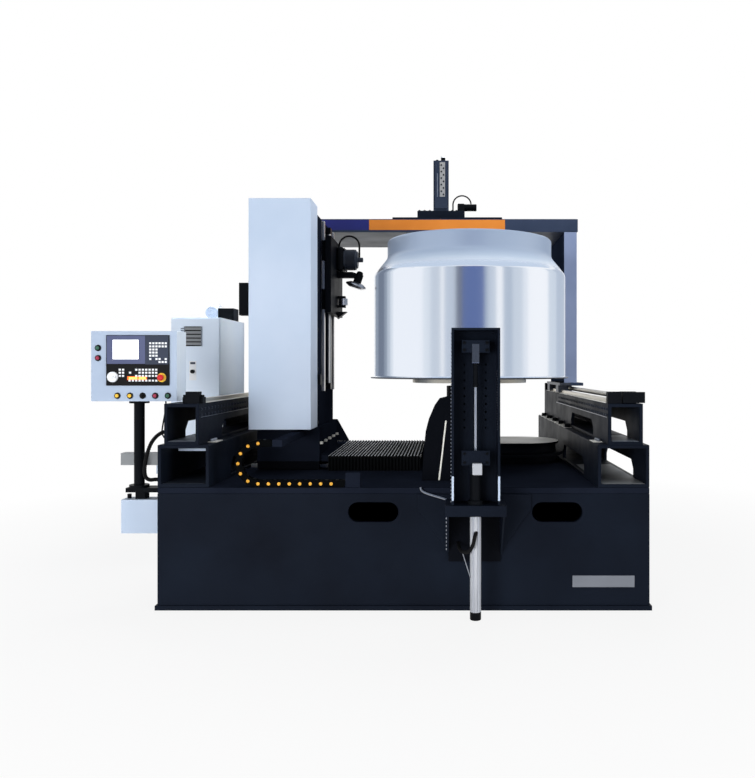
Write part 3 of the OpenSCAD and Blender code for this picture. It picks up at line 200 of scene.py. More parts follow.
def moved(x, y, z):
    return Matrix.Translation((x, y, z))


def pointing(direction, at):
    """The turn that takes +Z to a direction, then the move to a place."""
    return Matrix.Translation(at) @ Vector(direction).to_track_quat("Z", "Y").to_matrix().to_4x4()


def turned_form(name, profile, place=None, around=48, open_start=False):
    """A form of revolution about Z, from profile points of radius and height."""
    fresh()
    fill = "NOTHING" if open_start else "NGON"
    first_r, first_z = profile[0]
    bpy.ops.mesh.primitive_circle_add(vertices=around, radius=first_r, location=(0, 0, first_z),
                                      fill_type=fill)
    piece = settle(name)
    edit(piece)
    for (r0, z0), (r1, z1) in zip(profile, profile[1:]):
        bpy.ops.mesh.extrude_region_move(TRANSFORM_OT_translate={"value": (0, 0, z1 - z0)})
        bpy.ops.transform.resize(value=(r1 / r0, r1 / r0, 1), center_override=(0, 0, z1))
    if open_start:
        bpy.ops.mesh.edge_face_add()
    bpy.ops.mesh.select_all(action="SELECT")
    bpy.ops.mesh.normals_make_consistent(inside=False)
    leave_edit()
    if place is not None:
        piece.data.transform(place)
    return smooth(piece)


def turning(name, profile, place, around, finish, body):
    """A turned form as a finished piece."""
    return wear(turned_form(name, profile, place, around), finish, body)


print("turned forms ready")

# %% [markdown]
# A cable takes a smooth line between the points that hold it. A Bezier curve needs handles at each point. A
# curve that passes through all its points, with its slope at each taken from the neighbours, needs the
# points alone. They are the points of the CAD model's cords, so both lie in one place.

# %% Smooth routes
STAND_X = 1.6
LOW_TOP = 1.072
BED_TOP = 0.795
BED_FRONT = -1.65
PANEL_LOW = 1.351
PANEL_FRONT = -1.523


def smooth_route(points, steps):
    points = [Vector(p) for p in points]
    last = len(points) - 1
    route = []
    for k in range(steps + 1):
        u = k / steps * last
        s = min(int(u), last - 1)
        t = u - s
        p0, p1, p2, p3 = points[max(s - 1, 0)], points[s], points[s + 1], points[min(s + 2, last)]
        route.append(0.5 * (2 * p1 + (p2 - p0) * t + (2 * p0 - 5 * p1 + 4 * p2 - p3) * t * t
                            + (3 * p1 - p0 - 3 * p2 + p3) * t * t * t))
    return route


def route_length(route):
    return sum((b - a).length for a, b in zip(route, route[1:]))


def cable(name, route, radius):
    """A cable as a curve of one open spline with a round bevel."""
    curve = bpy.data.curves.new(name, "CURVE")
    curve.dimensions = "3D"
    curve.bevel_depth = radius
    curve.bevel_resolution = 3
    curve.use_fill_caps = True
    spline = curve.splines.new("POLY")
    spline.points.add(len(route) - 1)
    for point, place in zip(spline.points, route):
        point.co = (*place, 1)
    piece = bpy.data.objects.new(name, curve)
    bpy.context.scene.collection.objects.link(piece)
    return piece


print("routes ready")

# %% [markdown]
# The panel's lead leaves the panel's underside, hangs beside the pole and goes into the lower stand. It
# could be a mesh tube, but a curve with a round bevel keeps its route as points that can still be moved,
# and stays smooth.

# %% Lead from the panel
LEAD_R = 0.005
LEAD_Y = PANEL_FRONT + 0.043
lead_points = [(-0.006, 0, PANEL_LOW), (-0.006, 0, PANEL_LOW - 0.026), (-0.010, -0.010, PANEL_LOW - 0.091),
               (-0.017, -0.030, LOW_TOP + 0.108), (-0.012, -0.050, LOW_TOP + 0.064),
               (0.014, -0.066, LOW_TOP + 0.030), (0.020, -0.070, LOW_TOP + 0.014), (0.020, -0.070, LOW_TOP)]
lead_route = smooth_route([(x - STAND_X, LEAD_Y + y, z) for x, y, z in lead_points], 42)
panel_lead = cable("panel_lead_cable", lead_route, LEAD_R)
print("lead length", round(route_length(lead_route), 3))

# %% [markdown]
# The black hose beside the pole is ribbed, and bows out from the upper stand to the lower one. A bump in
# the finish could hint at the ribs, but it wouldn't show in the outline. So rings of points follow the
# route, every third one drawn in, and each is bridged to the next. The first and last rings stay narrow, as
# a hose's sleeves do.

# %% Ribbed hose
HOSE_R = 0.013
HOSE_RIB = 0.002
HOSE_SIDES = 14
SLEEVE_RINGS = 6
HOSE_Y = BED_FRONT + 0.05
hose_points = [(0.042, LOW_TOP + 0.078), (0.016, LOW_TOP + 0.078), (-0.028, LOW_TOP + 0.048),
               (-0.064, LOW_TOP - 0.004), (-0.090, LOW_TOP - 0.084), (-0.102, BED_TOP + 0.112),
               (-0.094, BED_TOP + 0.062), (-0.068, BED_TOP + 0.044), (-0.033, BED_TOP + 0.046),
               (0, BED_TOP + 0.046)]
hose_route = smooth_route([(x - STAND_X, HOSE_Y, z) for x, z in hose_points], 156)


def ribbed_tube(name, route, radius, rib, sides):
    points = []
    rings = len(route)
    for i, place in enumerate(route):
        heading = (route[min(i + 1, rings - 1)] - route[max(i - 1, 0)]).normalized()
        across = heading.cross(Vector((0, 1, 0))).normalized()
        up = heading.cross(across)
        sleeve = i < SLEEVE_RINGS or i >= rings - SLEEVE_RINGS
        r = radius - (rib if sleeve or i % 3 == 0 else 0)
        turns = [2 * math.pi * k / sides for k in range(sides)]
        points += [place + r * (math.cos(turn) * across + math.sin(turn) * up) for turn in turns]
    faces = [(i * sides + k, i * sides + (k + 1) % sides, (i + 1) * sides + (k + 1) % sides,
              (i + 1) * sides + k) for i in range(rings - 1) for k in range(sides)]
    faces += [tuple(range(sides))[::-1], tuple((rings - 1) * sides + k for k in range(sides))]
    mesh = bpy.data.meshes.new(name)
    mesh.from_pydata(points, [], faces)
    piece = bpy.data.objects.new(name, mesh)
    bpy.context.scene.collection.objects.link(piece)
    edit(piece)
    bpy.ops.mesh.normals_make_consistent(inside=False)
    return smooth(piece, 60)


panel_hose = ribbed_tube("panel_ribbed_hose", hose_route, HOSE_R, HOSE_RIB, HOSE_SIDES)
print("hose length", round(route_length(hose_route), 3))

# %% [markdown]
# Every finish is a small graph of nodes. These helpers make a material, join two sockets, reckon with
# numbers and carry a value from one range to another. Colours are written as the eye reads them on a
# screen, so they're turned into the linear values that shaders take.

# %% Tools for finishes
def colour(r, g, b):
    return [((c / 255 + 0.055) / 1.055) ** 2.4 if c > 10 else c / 255 / 12.92 for c in (r, g, b)] + [1]


def new_material(name):
    material = bpy.data.materials.new(name)
    material.use_nodes = True
    tree = material.node_tree
    return material, tree, tree.nodes["Principled BSDF"]


def link(tree, a, out, b, socket):
    tree.links.new(a.outputs[out], b.inputs[socket])


def reckon(tree, operation, first, second=0):
    """A math node on a socket or a number each side; gives its output socket."""
    node = tree.nodes.new("ShaderNodeMath")
    node.operation = operation
    for socket, value in zip(node.inputs, (first, second)):
        if isinstance(value, (int, float)):
            socket.default_value = value
        else:
            tree.links.new(value, socket)
    return node.outputs[0]


def carry(tree, value, low, high, first, last, way="LINEAR"):
    """Carries a value from the range low to high over to first to last; gives the output socket."""
    span = tree.nodes.new("ShaderNodeMapRange")
    span.interpolation_type = way
    for socket, number in zip(("From Min", "From Max", "To Min", "To Max"), (low, high, first, last)):
        span.inputs[socket].default_value = number
    tree.links.new(value, span.inputs["Value"])
    return span.outputs["Result"]


def seen(tree):
    """One for a ray from the camera or from a mirror, nothing for light that bounces."""
    path = tree.nodes.new("ShaderNodeLightPath")
    return reckon(tree, "MAXIMUM", path.outputs["Is Camera Ray"], path.outputs["Is Glossy Ray"])


def mixed(tree, share, first, second, output):
    """Shows the first shader, and as much of the second as the share says."""
    mix = tree.nodes.new("ShaderNodeMixShader")
    for k, socket in enumerate((share, first.outputs[0], second.outputs[0])):
        tree.links.new(socket, mix.inputs[k])
    link(tree, mix, "Shader", tree.nodes[output], "Surface")


print("finish tools ready")

# %% [markdown]
# The studio floor is pale and keeps a soft shadow. More light would whiten it, but would bleach the machine
# too. So to the camera and to mirrors the floor glows almost white, fully so farther out, and under the bed
# it stays plain.

# %% Floor
FLOOR_SIZE = 60
UNDER_X = 1.59
UNDER_Y = 1.64
fresh()
bpy.ops.mesh.primitive_plane_add(size=FLOOR_SIZE, location=(0, 0, -0.001))
floor = settle("studio_floor")
floor_paint, tree, shader = new_material("studio_floor")
shader.inputs["Base Color"].default_value = (0.62, 0.62, 0.62, 1)
shader.inputs["Roughness"].default_value = 0.9
where = tree.nodes.new("ShaderNodeTexCoord")
apart = tree.nodes.new("ShaderNodeSeparateXYZ")
link(tree, where, "Object", apart, "Vector")
under_x = reckon(tree, "LESS_THAN", reckon(tree, "ABSOLUTE", apart.outputs["X"]), UNDER_X)
under_y = reckon(tree, "LESS_THAN", reckon(tree, "ABSOLUTE", apart.outputs["Y"]), UNDER_Y)
outside = reckon(tree, "SUBTRACT", 1, reckon(tree, "MULTIPLY", under_x, under_y))
reach = tree.nodes.new("ShaderNodeVectorMath")
reach.operation = "LENGTH"
link(tree, where, "Object", reach, 0)
fade = carry(tree, reach.outputs["Value"], 2.5, 5.5, 0.88, 1.0)
share = reckon(tree, "MULTIPLY", reckon(tree, "MULTIPLY", seen(tree), fade), outside)
mixed(tree, share, shader, tree.nodes.new("ShaderNodeEmission"), "Material Output")
floor.data.materials.append(floor_paint)
print("floor", FLOOR_SIZE, "m")

# %% [markdown]
# The world is the white room round the machine. At full strength it would light every side alike and wash
# the forms out, so it is white to the camera and to mirrors, and dimmer and a little cool as a lamp.

# %% World
world = bpy.data.worlds.new("studio_world")
bpy.context.scene.world = world
world.use_nodes = True
tree = world.node_tree
room = tree.nodes["Background"]
room.inputs["Color"].default_value = (0.93, 0.96, 1.0, 1)
room.inputs["Strength"].default_value = 0.42
white_room = tree.nodes.new("ShaderNodeBackground")
white_room.inputs["Color"].default_value = (1, 1, 1, 1)
mixed(tree, seen(tree), room, white_room, "World Output")
bpy.context.scene.view_settings.view_transform = "Standard"
print("world ready")

# %% [markdown]
# Broad lamps give soft shadows: a key from the left front, a fill from the right front, one overhead, a low
# one for the bed's front, and two for the dark corner between the column and the cabinet. A sun would be
# simpler, but its shadows are hard. The gap lamp has a narrow beam, which lights the cabinet's side and
# spares the gantry. The camera and mirrors see none of them.

# %% Lamps
def area_lamp(name, place, aim, size, watts, beam=180):
    data = bpy.data.lights.new(name, "AREA")
    data.shape = "SQUARE"
    data.size = size
    data.energy = watts
    data.spread = math.radians(beam)
    lamp = bpy.data.objects.new(name, data)
    lamp.location = place
    lamp.rotation_euler = (Vector(aim) - Vector(place)).to_track_quat("-Z", "Y").to_euler()
    lamp.visible_glossy = False
    lamp.visible_camera = False
    bpy.context.scene.collection.objects.link(lamp)


area_lamp("side_lamp", (1.2, 0.3, 4.6), (-1.6, 0.25, 1.6), 2.2, 48)
area_lamp("gap_lamp", (-1.15, 0.1, 3.4), (-1.6, 0.1, 1.6), 0.5, 10.5, beam=90)
area_lamp("low_lamp", (-1.6, -6.0, 0.5), (-0.9, -0.8, 1.2), 2.0, 58)
area_lamp("key_lamp", (-6.0, -12.0, 1.9), (0, 0, 1.0), 4.5, 800)
area_lamp("fill_lamp", (11.0, -8.0, 2.2), (0, 0, 1.1), 5.0, 700)
area_lamp("top_lamp", (0.5, 1.0, 9.0), (0, 0, 1.0), 5.0, 90)
print("lamps", len(bpy.data.lights))

# %% [markdown]
# Polished steel shows what stands round it, and in a white room it would look like paper. Photographers
# hold up grey cards. Here a ring of upright cards stands round the vessel, with one overhead and a few near
# its left side, and only mirrors see them. Each card of the ring goes from one angle to another; each near
# card from one depth to another.

# %% Cards for the steel to mirror
SPINDLE = (0.47, -0.15)
CARD_R = 9.0
CARD_LOW = -0.5
CARD_HIGH = 6.5
NEAR_X = -0.42
ring_cards = ((-54, -45, (228, 234, 240)), (-45, -33, (204, 212, 222)), (-29, -16, (198, 207, 219)),
              (-16, -9, (116, 122, 136)), (-9, 15, (98, 116, 164)), (15, 19, (176, 187, 202)),
              (19, 28, (203, 212, 223)), (36, 47, (184, 195, 209)), (47, 60, (210, 218, 227)),
              (60, 67, (234, 238, 243)), (100, 118, (214, 222, 231)), (118, 152, (190, 200, 214)))
near_cards = ((-1.2, -0.61, (248, 250, 253)), (-0.61, -0.56, (226, 232, 238)),
              (-0.56, -0.50, (190, 199, 210)), (-0.50, -0.44, (148, 158, 172)),
              (-0.44, -0.28, (118, 128, 144)), (-0.28, -0.12, (150, 160, 174)))


def studio_card(name, corners, tone):
    mesh = bpy.data.meshes.new(name)
    mesh.from_pydata(corners, [], [(0, 1, 2, 3)])
    card = bpy.data.objects.new(name, mesh)
    bpy.context.scene.collection.objects.link(card)
    for ray in ("camera", "diffuse", "shadow", "transmission", "volume_scatter"):
        setattr(card, "visible_" + ray, False)
    material, tree, _ = new_material(name)
    glow = tree.nodes.new("ShaderNodeEmission")
    glow.inputs["Color"].default_value = colour(*tone)
    link(tree, glow, "Emission", tree.nodes["Material Output"], "Surface")
    mesh.materials.append(material)


def upright_card(name, a, b, low, high, tone):
    studio_card(name, [(*a, low), (*b, low), (*b, high), (*a, high)], tone)


def on_ring(angle):
    turn = math.radians(angle)
    return SPINDLE[0] + CARD_R * math.sin(turn), SPINDLE[1] - CARD_R * math.cos(turn)


for k, (start, end, tone) in enumerate(ring_cards):
    upright_card("side_card_%d" % k, on_ring(start), on_ring(end), CARD_LOW, CARD_HIGH, tone)
studio_card("ceiling_card", [(-7, -9, 8), (8, -9, 8), (8, 6, 8), (-7, 6, 8)], (204, 217, 233))
for k, (y0, y1, tone) in enumerate(near_cards):
    upright_card("near_card_%d" % k, (NEAR_X, y0), (NEAR_X, y1), 1.2, 2.6, tone)
print("cards", len(ring_cards) + len(near_cards) + 1)

# %% [markdown]
# Painted plate is never one flat colour: its tone and shine wander a little, and close up it has a fine
# grain. A picture of paint could be wrapped round each part, but it would stretch. Noise on the object's
# own coordinates needs no wrapping: one wide cloud for the tone, one for the shine and a fine one for the
# grain.

# %% A coat of paint
NOISE_LOW = 0.3
NOISE_HIGH = 0.7
CLOUDS = 1.7
SHINE_CLOUDS = 5


def place_of(tree, scale=(1, 1, 1)):
    where = tree.nodes.new("ShaderNodeTexCoord")
    mapping = tree.nodes.new("ShaderNodeMapping")
    mapping.inputs["Scale"].default_value = scale
    link(tree, where, "Object", mapping, "Vector")
    return mapping


def noise_of(tree, mapping, scale, detail=3):
    noise = tree.nodes.new("ShaderNodeTexNoise")
    noise.inputs["Scale"].default_value = scale
    noise.inputs["Detail"].default_value = detail
    link(tree, mapping, "Vector", noise, "Vector")
    return noise


def shine(tree, noise, shader, rough, swing):
    wander = carry(tree, noise.outputs["Fac"], NOISE_LOW, NOISE_HIGH, rough - swing, rough + swing)
    tree.links.new(wander, shader.inputs["Roughness"])


def two_tones(tree, noise, shader, dark, light):
    ramp = tree.nodes.new("ShaderNodeValToRGB")
    for element, position, tone in zip(ramp.color_ramp.elements, (NOISE_LOW, NOISE_HIGH), (dark, light)):
        element.position = position
        element.color = colour(*tone)
    link(tree, noise, "Fac", ramp, "Fac")
    link(tree, ramp, "Color", shader, "Base Color")
    return ramp


def lift_surface(tree, noise, shader, strength, distance):
    bump = tree.nodes.new("ShaderNodeBump")
    bump.inputs["Strength"].default_value = strength
    bump.inputs["Distance"].default_value = distance
    link(tree, noise, "Fac", bump, "Height")
    link(tree, bump, "Normal", shader, "Normal")


def coat(name, dark, light, rough, specular, grain=60, strength=0.12):
    material, tree, shader = new_material(name)
    mapping = place_of(tree)
    two_tones(tree, noise_of(tree, mapping, CLOUDS), shader, dark, light)
    shine(tree, noise_of(tree, mapping, SHINE_CLOUDS), shader, rough, 0.06)
    shader.inputs["Specular IOR Level"].default_value = specular
    lift_surface(tree, noise_of(tree, mapping, grain, 2), shader, strength, 0.0006)
    return material


print("coat ready")

# %% [markdown]
# The machine is painted in dark blues and blacks, its boxes in pale greys, and its controls are coloured
# plastic. One grey for all would be quicker, but the photograph shows each part in its own tone. Each line
# gives the darker and the lighter tone, the roughness and how much it mirrors; plastics and rubber also say
# how fine their grain is.

# %% Paints and plastics
dark_paint = coat("dark_paint", (15, 19, 28), (21, 27, 38), 0.48, 0.05)
gantry_paint = coat("gantry_paint", (46, 56, 76), (58, 68, 90), 0.45, 0.08)
press_paint = coat("press_paint", (38, 46, 62), (50, 59, 76), 0.45, 0.1)
cabinet_paint = coat("cabinet_paint", (218, 232, 250), (230, 241, 254), 0.5, 0.3)
panel_paint = coat("panel_paint", (163, 178, 200), (175, 189, 209), 0.5, 0.3)
post_paint = coat("post_paint", (128, 142, 174), (148, 161, 194), 0.45, 0.15)
column_paint = coat("column_paint", (21, 25, 35), (30, 35, 47), 0.8, 0)
# post_shade is painted shade: a darker coat for the inner faces of the gantry's posts.
post_shade = coat("post_shade", (40, 48, 66), (50, 59, 79), 0.7, 0)
# lit_side_paint is painted light: a lighter coat that brightens the sides of the cabinet and the panel that
# face right.
lit_side_paint = coat("lit_side_paint", (224, 237, 252), (238, 247, 255), 0.5, 0.3)
# shade_paint is painted shade: a near-black coat for parts and sheets that stand in deep shadow.
shade_paint = coat("shade_paint", (6, 8, 12), (10, 12, 18), 0.5, 0.04)
black_paint = coat("black_paint", (9, 11, 14), (15, 17, 21), 0.45, 0.06)
light_paint = coat("light_paint", (180, 196, 217), (192, 205, 224), 0.5, 0.3)
grey_paint = coat("grey_paint", (120, 128, 140), (138, 146, 158), 0.45, 0.25)
stone_paint = coat("stone_paint", (124, 127, 130), (146, 149, 152), 0.5, 0.2)
slate_paint = coat("slate_paint", (40, 45, 56), (54, 60, 72), 0.45, 0.25, 80, 0.1)
black_plastic = coat("black_plastic", (14, 14, 15), (21, 21, 22), 0.5, 0.2, 200)
black_rubber = coat("black_rubber", (11, 11, 12), (17, 17, 18), 0.7, 0.12, 240, 0.25)
black_cloth = coat("black_cloth", (11, 12, 13), (18, 19, 21), 0.8, 0.04, 400, 0.3)
grey_plastic = coat("grey_plastic", (46, 52, 66), (58, 64, 80), 0.5, 0.25, 200)
white_plastic = coat("white_plastic", (224, 228, 232), (240, 242, 245), 0.4, 0.35, 200, 0.05)
green_plastic = coat("green_plastic", (40, 84, 66), (56, 104, 84), 0.35, 0.4, 200, 0.05)
red_plastic = coat("red_plastic", (190, 26, 34), (214, 38, 44), 0.35, 0.4, 200, 0.05)
rose_plastic = coat("rose_plastic", (146, 46, 70), (166, 58, 84), 0.4, 0.3, 200, 0.05)
yellow_plastic = coat("yellow_plastic", (232, 178, 44), (244, 200, 70), 0.35, 0.4, 200, 0.05)
print("finishes:", len(bpy.data.materials))

# %% [markdown]
# Ground and turned metal carries fine parallel lines. Anisotropy on the shader would stretch the highlights,
# but it draws no lines. So the noise is squeezed hard along one direction until it draws streaks, and they
# drive the tone, the shine and the bump. The scale gives how fine the streaks are along each axis. Cream
# steel is ground steel with a film of oil, which looks more like a pale paint.

# %% Bright metal
def metal(name, dark, light, rough, scale, strength=0.15):
    material, tree, shader = new_material(name)
    streaks = noise_of(tree, place_of(tree, scale), 1, 4)
    two_tones(tree, streaks, shader, dark, light)
    shine(tree, streaks, shader, rough, 0.07)
    shader.inputs["Metallic"].default_value = 1.0
    lift_surface(tree, streaks, shader, strength, 0.0008)
    return material


rail_steel = metal("rail_steel", (206, 200, 188), (232, 226, 214), 0.4, (220, 3, 220))
upright_steel = metal("upright_steel", (206, 202, 194), (232, 228, 220), 0.3, (220, 220, 3))
turned_steel = metal("turned_steel", (200, 200, 204), (226, 226, 230), 0.28, (30, 30, 240))
satin_tube = metal("satin_tube", (186, 190, 198), (212, 216, 224), 0.34, (180, 180, 4))
cast_iron = metal("cast_iron", (84, 86, 92), (108, 110, 116), 0.5, (40, 40, 40), 0.3)
bolt_steel = metal("bolt_steel", (150, 154, 162), (184, 188, 196), 0.35, (60, 60, 60))
cream_steel = coat("cream_steel", (214, 212, 204), (240, 238, 230), 0.4, 0.5, 18, 0.05)
print("finishes:", len(bpy.data.materials))

# %% [markdown]
# The lead and the hose are free cords. Each gets black rubber, rides on the bed and takes the place of its
# CAD part. The motor cables further on get the same finish and ride on their own bodies.

def declare_cord(piece, body, replaced=None):
    piece.data.materials.append(black_rubber)
    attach(piece, body)
    if replaced:
        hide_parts(replaced)


declare_cord(panel_lead, "bed", "panel_lead")
declare_cord(panel_hose, "bed", "panel_hose")

# %% [markdown]
# A CAD part comes in as loose triangles with knife-sharp edges. Its mesh must not change, so a copy is
# merged, its flat faces are joined again, and a small bevel runs along every sharp edge: real plate has a
# broken edge that catches light.

# %% Dress the plate work
def dress(name, material, edge):
    fresh()
    piece = nodes[name].copy()
    piece.data = nodes[name].data.copy()
    piece.name = name + "_dressed"
    bpy.context.scene.collection.objects.link(piece)
    piece.parent = None
    piece.data.transform(nodes[name].matrix_world)
    piece.matrix_world = Matrix.Identity(4)
    edit(piece)
    bpy.ops.mesh.remove_doubles(threshold=0.00001)
    bpy.ops.mesh.dissolve_limited(angle_limit=math.radians(0.5))
    bpy.ops.mesh.normals_make_consistent(inside=False)
    leave_edit()
    bevel = piece.modifiers.new("broken_edge", "BEVEL")
    bevel.width = edge
    bevel.segments = 2
    bevel.limit_method = "ANGLE"
    bevel.angle_limit = math.radians(35)
    bevel.use_clamp_overlap = True
    apply_modifiers(piece)
    flat_faces(smooth(piece, 40))
    wear(piece, material, node_body[name])
    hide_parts(name)


# The front guard, the roller saddle and the right way cover, all but its top, wear painted shade.
dressed = {"bed_front_plate": (dark_paint, 0.006), "bed_top_plate": (column_paint, 0.005),
           "lower_stands": (dark_paint, 0.005), "upper_stands": (dark_paint, 0.005),
           "linear_rails": (rail_steel, 0.003), "gantry_drive": (black_paint, 0.003),
           "front_bracket": (dark_paint, 0.003), "front_guard": (shade_paint, 0.002),
           "panel_post": (black_paint, 0.004), "panel_box": (panel_paint, 0.004),
           "side_boxes": (light_paint, 0.004), "cabinet_body": (cabinet_paint, 0.004),
           "cabinet_door": (cabinet_paint, 0.003), "column_saddle": (column_paint, 0.006),
           "column_body": (column_paint, 0.006), "column_cover": (light_paint, 0.005),
           "column_rails": (upright_steel, 0.003), "lift_drive": (black_paint, 0.005),
           "roller_saddle": (shade_paint, 0.004), "tool_arms": (black_paint, 0.003),
           "gantry_posts": (post_paint, 0.006), "gantry_beam": (gantry_paint, 0.006),
           "gantry_carriages": (cast_iron, 0.003), "tail_slide": (dark_paint, 0.005),
           "tail_cylinder": (press_paint, 0.004), "lift_post": (dark_paint, 0.002),
           "right_way_cover": (shade_paint, 0.005)}
for name, (material, edge) in dressed.items():
    dress(name, material, edge)
print("dressed", len(dressed))

# %% [markdown]
# Parts that hide inside the machine, and small ones that are right as they are, keep their CAD shape. A
# copy of each would gain nothing, so only the finish is put on.

# %% Finish the plain parts
# The spindle housing wears painted shade.
plain = {
    "bed_walls": dark_paint, "spindle_housing": shade_paint, "spindle_bearings": turned_steel,
    "spindle_motor": black_paint, "feed_cylinder": satin_tube, "lift_screw": upright_steel,
    "spindle_shaft": turned_steel, "clamp_disc": rail_steel, "mandrel": cast_iron, "lift_rod": satin_tube,
    "isolator_knob": black_plastic, "side_green_button": green_plastic, "side_red_button": rose_plastic,
    "left_lamp_button": yellow_plastic, "right_lamp_button": yellow_plastic, "mode_selector": black_plastic,
    "stop_button": rose_plastic, "start_button": green_plastic, "forming_roller": turned_steel,
    "beading_roller": turned_steel, "tail_ram": turned_steel, "gantry_screw": rail_steel}
for name, material in plain.items():
    nodes[name].data.materials.clear()
    nodes[name].data.materials.append(material)
print("painted", len(plain))

# %% [markdown]
# Some parts are one solid with two paints, such as the cabinet with its black blower box. Splitting the
# part would open it up, so faces are picked by where they lie or which way they look, and get a second
# finish. Two second finishes are painted light and shade: the sides of the cabinet and the panel that face
# right are painted lighter, and the inner faces of the gantry's posts darker.

# %% Second finishes
TRUNK_LOW = 0.9
STEM_LOW = 0.695
STEM_HIGH = 0.745
PRESS_WAY_LOW = 2.963
PRESS_CAP_LOW = 3.611
CABINET_TOP = 2.0
BLOWER_LEFT = -1.75
INNER_POST = -1.2
SQUARE_ON = 0.9
WAY_COVER_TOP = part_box("right_way_cover")[1][2]


def repaint(name, material, picked):
    piece = bpy.data.objects[name + "_dressed"]
    piece.data.materials.append(material)
    for face in piece.data.polygons:
        if picked(face):
            face.material_index = len(piece.data.materials) - 1


def faces_right(face):
    return face.normal.x > SQUARE_ON


repaint("side_boxes", stone_paint, lambda face: face.center.z > TRUNK_LOW)
repaint("side_boxes", black_paint, lambda face: STEM_LOW < face.center.z < STEM_HIGH)
repaint("gantry_beam", dark_paint, lambda face: face.center.z > PRESS_WAY_LOW)
repaint("tail_cylinder", black_paint, lambda face: face.center.z > PRESS_CAP_LOW)
# Painted shade: the inner faces of the gantry's posts are made darker.
repaint("gantry_posts", post_shade, lambda face: face.normal.x * face.center.x < INNER_POST)
# Painted light: the sides of the cabinet and the panel that face right get a lighter coat.
repaint("cabinet_body", lit_side_paint, faces_right)
repaint("cabinet_body", black_paint, lambda face: face.center.z > CABINET_TOP and face.center.x > BLOWER_LEFT)
repaint("panel_box", lit_side_paint, faces_right)
repaint("right_way_cover", cream_steel,
        lambda face: face.normal.z > SQUARE_ON and face.center.z > WAY_COVER_TOP - 0.002)
print("second finishes done")

# %% [markdown]
# The vessel is the piece on show: a deep pan of spun sheet with a rolled flange at its mouth, a shoulder
# and a neck. A cylinder could be pushed into this shape, but its profile would be hard to keep. Turning it
# from a profile follows the way the real one is made: up from the flange, over the shoulder, up the neck
# and across the top.

# %% Spun vessel
VESSEL_LOW = 1.49
VESSEL_TOP = 2.63


def arc_points(r, z, radius, start, end, steps):
    """Points of a profile round an arc, between two angles in degrees."""
    turns = [math.radians(start + (end - start) * k / steps) for k in range(steps + 1)]
    return [(r + radius * math.cos(turn), z + radius * math.sin(turn)) for turn in turns]


flange = [(0.797, VESSEL_LOW), (0.822, VESSEL_LOW)] + arc_points(0.819, VESSEL_LOW + 0.006, 0.006, -60, 90, 6)
flange += arc_points(0.812, VESSEL_LOW + 0.024, 0.012, -90, -180, 6)
wall = [(0.8, 1.8), (0.8, 2.1)]
shoulder = arc_points(0.740, 2.3189, 0.060, 0, 39, 10) + arc_points(0.755, 2.5069, 0.070, 219, 180, 10)
neck = [(0.685, 2.56)] + arc_points(0.667, VESSEL_TOP - 0.018, 0.018, 0, 88, 10)
crown = [(0.3, VESSEL_TOP), (0.004, VESSEL_TOP)]
vessel = turned_form("spun_vessel_turned", flange + wall + shoulder + neck + crown, moved(*SPINDLE, 0), 160,
                     open_start=True)
print("vessel faces", len(vessel.data.polygons))

# %% [markdown]
# The rollers leave the vessel's wall polished and its neck satin. Two materials with a line between them
# would look painted on. So one finish goes from the one to the other with the height, a little ragged from
# a cloud of noise. The flange's edge is as dull as raw sheet.

# %% Vessel steel
WALL_END = 2.355
NECK_START = 2.42
RAW_EDGE = 0.009
vessel_steel, tree, shader = new_material("vessel_steel")
streaks = noise_of(tree, place_of(tree, (1.2, 1.2, 420)), 1, 4)
clouds = noise_of(tree, place_of(tree, (4, 4, 30)), 1, 4)
where = tree.nodes.new("ShaderNodeTexCoord")
apart = tree.nodes.new("ShaderNodeSeparateXYZ")
link(tree, where, "Object", apart, "Vector")
height = reckon(tree, "ADD", apart.outputs["Z"], reckon(tree, "MULTIPLY", clouds.outputs["Fac"], 0.012))


def by_height(low, high, first, last, socket):
    """Lets a socket go smoothly from the first value to the last between two heights."""
    tree = vessel_steel.node_tree
    tree.links.new(carry(tree, height, low, high, first, last, "SMOOTHSTEP"), socket)


tones = tree.nodes.new("ShaderNodeValToRGB")
tones.color_ramp.elements[0].color = colour(240, 244, 251)
tones.color_ramp.elements[1].color = colour(166, 181, 203)
tones.color_ramp.elements.new(0.4).color = colour(200, 212, 226)
by_height(2.35, 2.53, 0, 1, tones.inputs["Fac"])
link(tree, tones, "Color", shader, "Base Color")
by_height(WALL_END, NECK_START, 0.16, 0.4, shader.inputs["Roughness"])
by_height(WALL_END, NECK_START, 1, 0.5, shader.inputs["Metallic"])
lift_surface(tree, streaks, shader, 0.02, 0.0008)
wear(vessel, vessel_steel, "spindle")
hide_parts("spun_vessel")
vessel.data.materials.append(cast_iron)
for face in vessel.data.polygons:
    face.material_index = 1 if face.center.z < VESSEL_LOW + RAW_EDGE else 0
print("vessel finished")

# %% [markdown]
# A bellows of folded cloth keeps chips off the column's way. A cloth simulation could fold it, but no two
# folds would be alike, so the folds are drawn one by one. They start from a U of three edges across the
# way: a standing plane loses its face and its lowest edge.

# %% Start of the bellows
BELLOWS_X = (-0.618, 0.079)
BELLOWS_Y = (-0.814, 0.514)
BELLOWS_Z = (BED_TOP + 0.0004, 0.907)


def select_edges(piece, picked):
    """Selects the edges whose two end points pass a test, and stays in edit mode."""
    bpy.ops.mesh.select_mode(type="EDGE")
    bpy.ops.mesh.select_all(action="DESELECT")
    leave_edit()
    for edge in piece.data.edges:
        edge.select = picked(*[piece.data.vertices[v].co for v in edge.vertices])
    bpy.ops.object.mode_set(mode="EDIT")


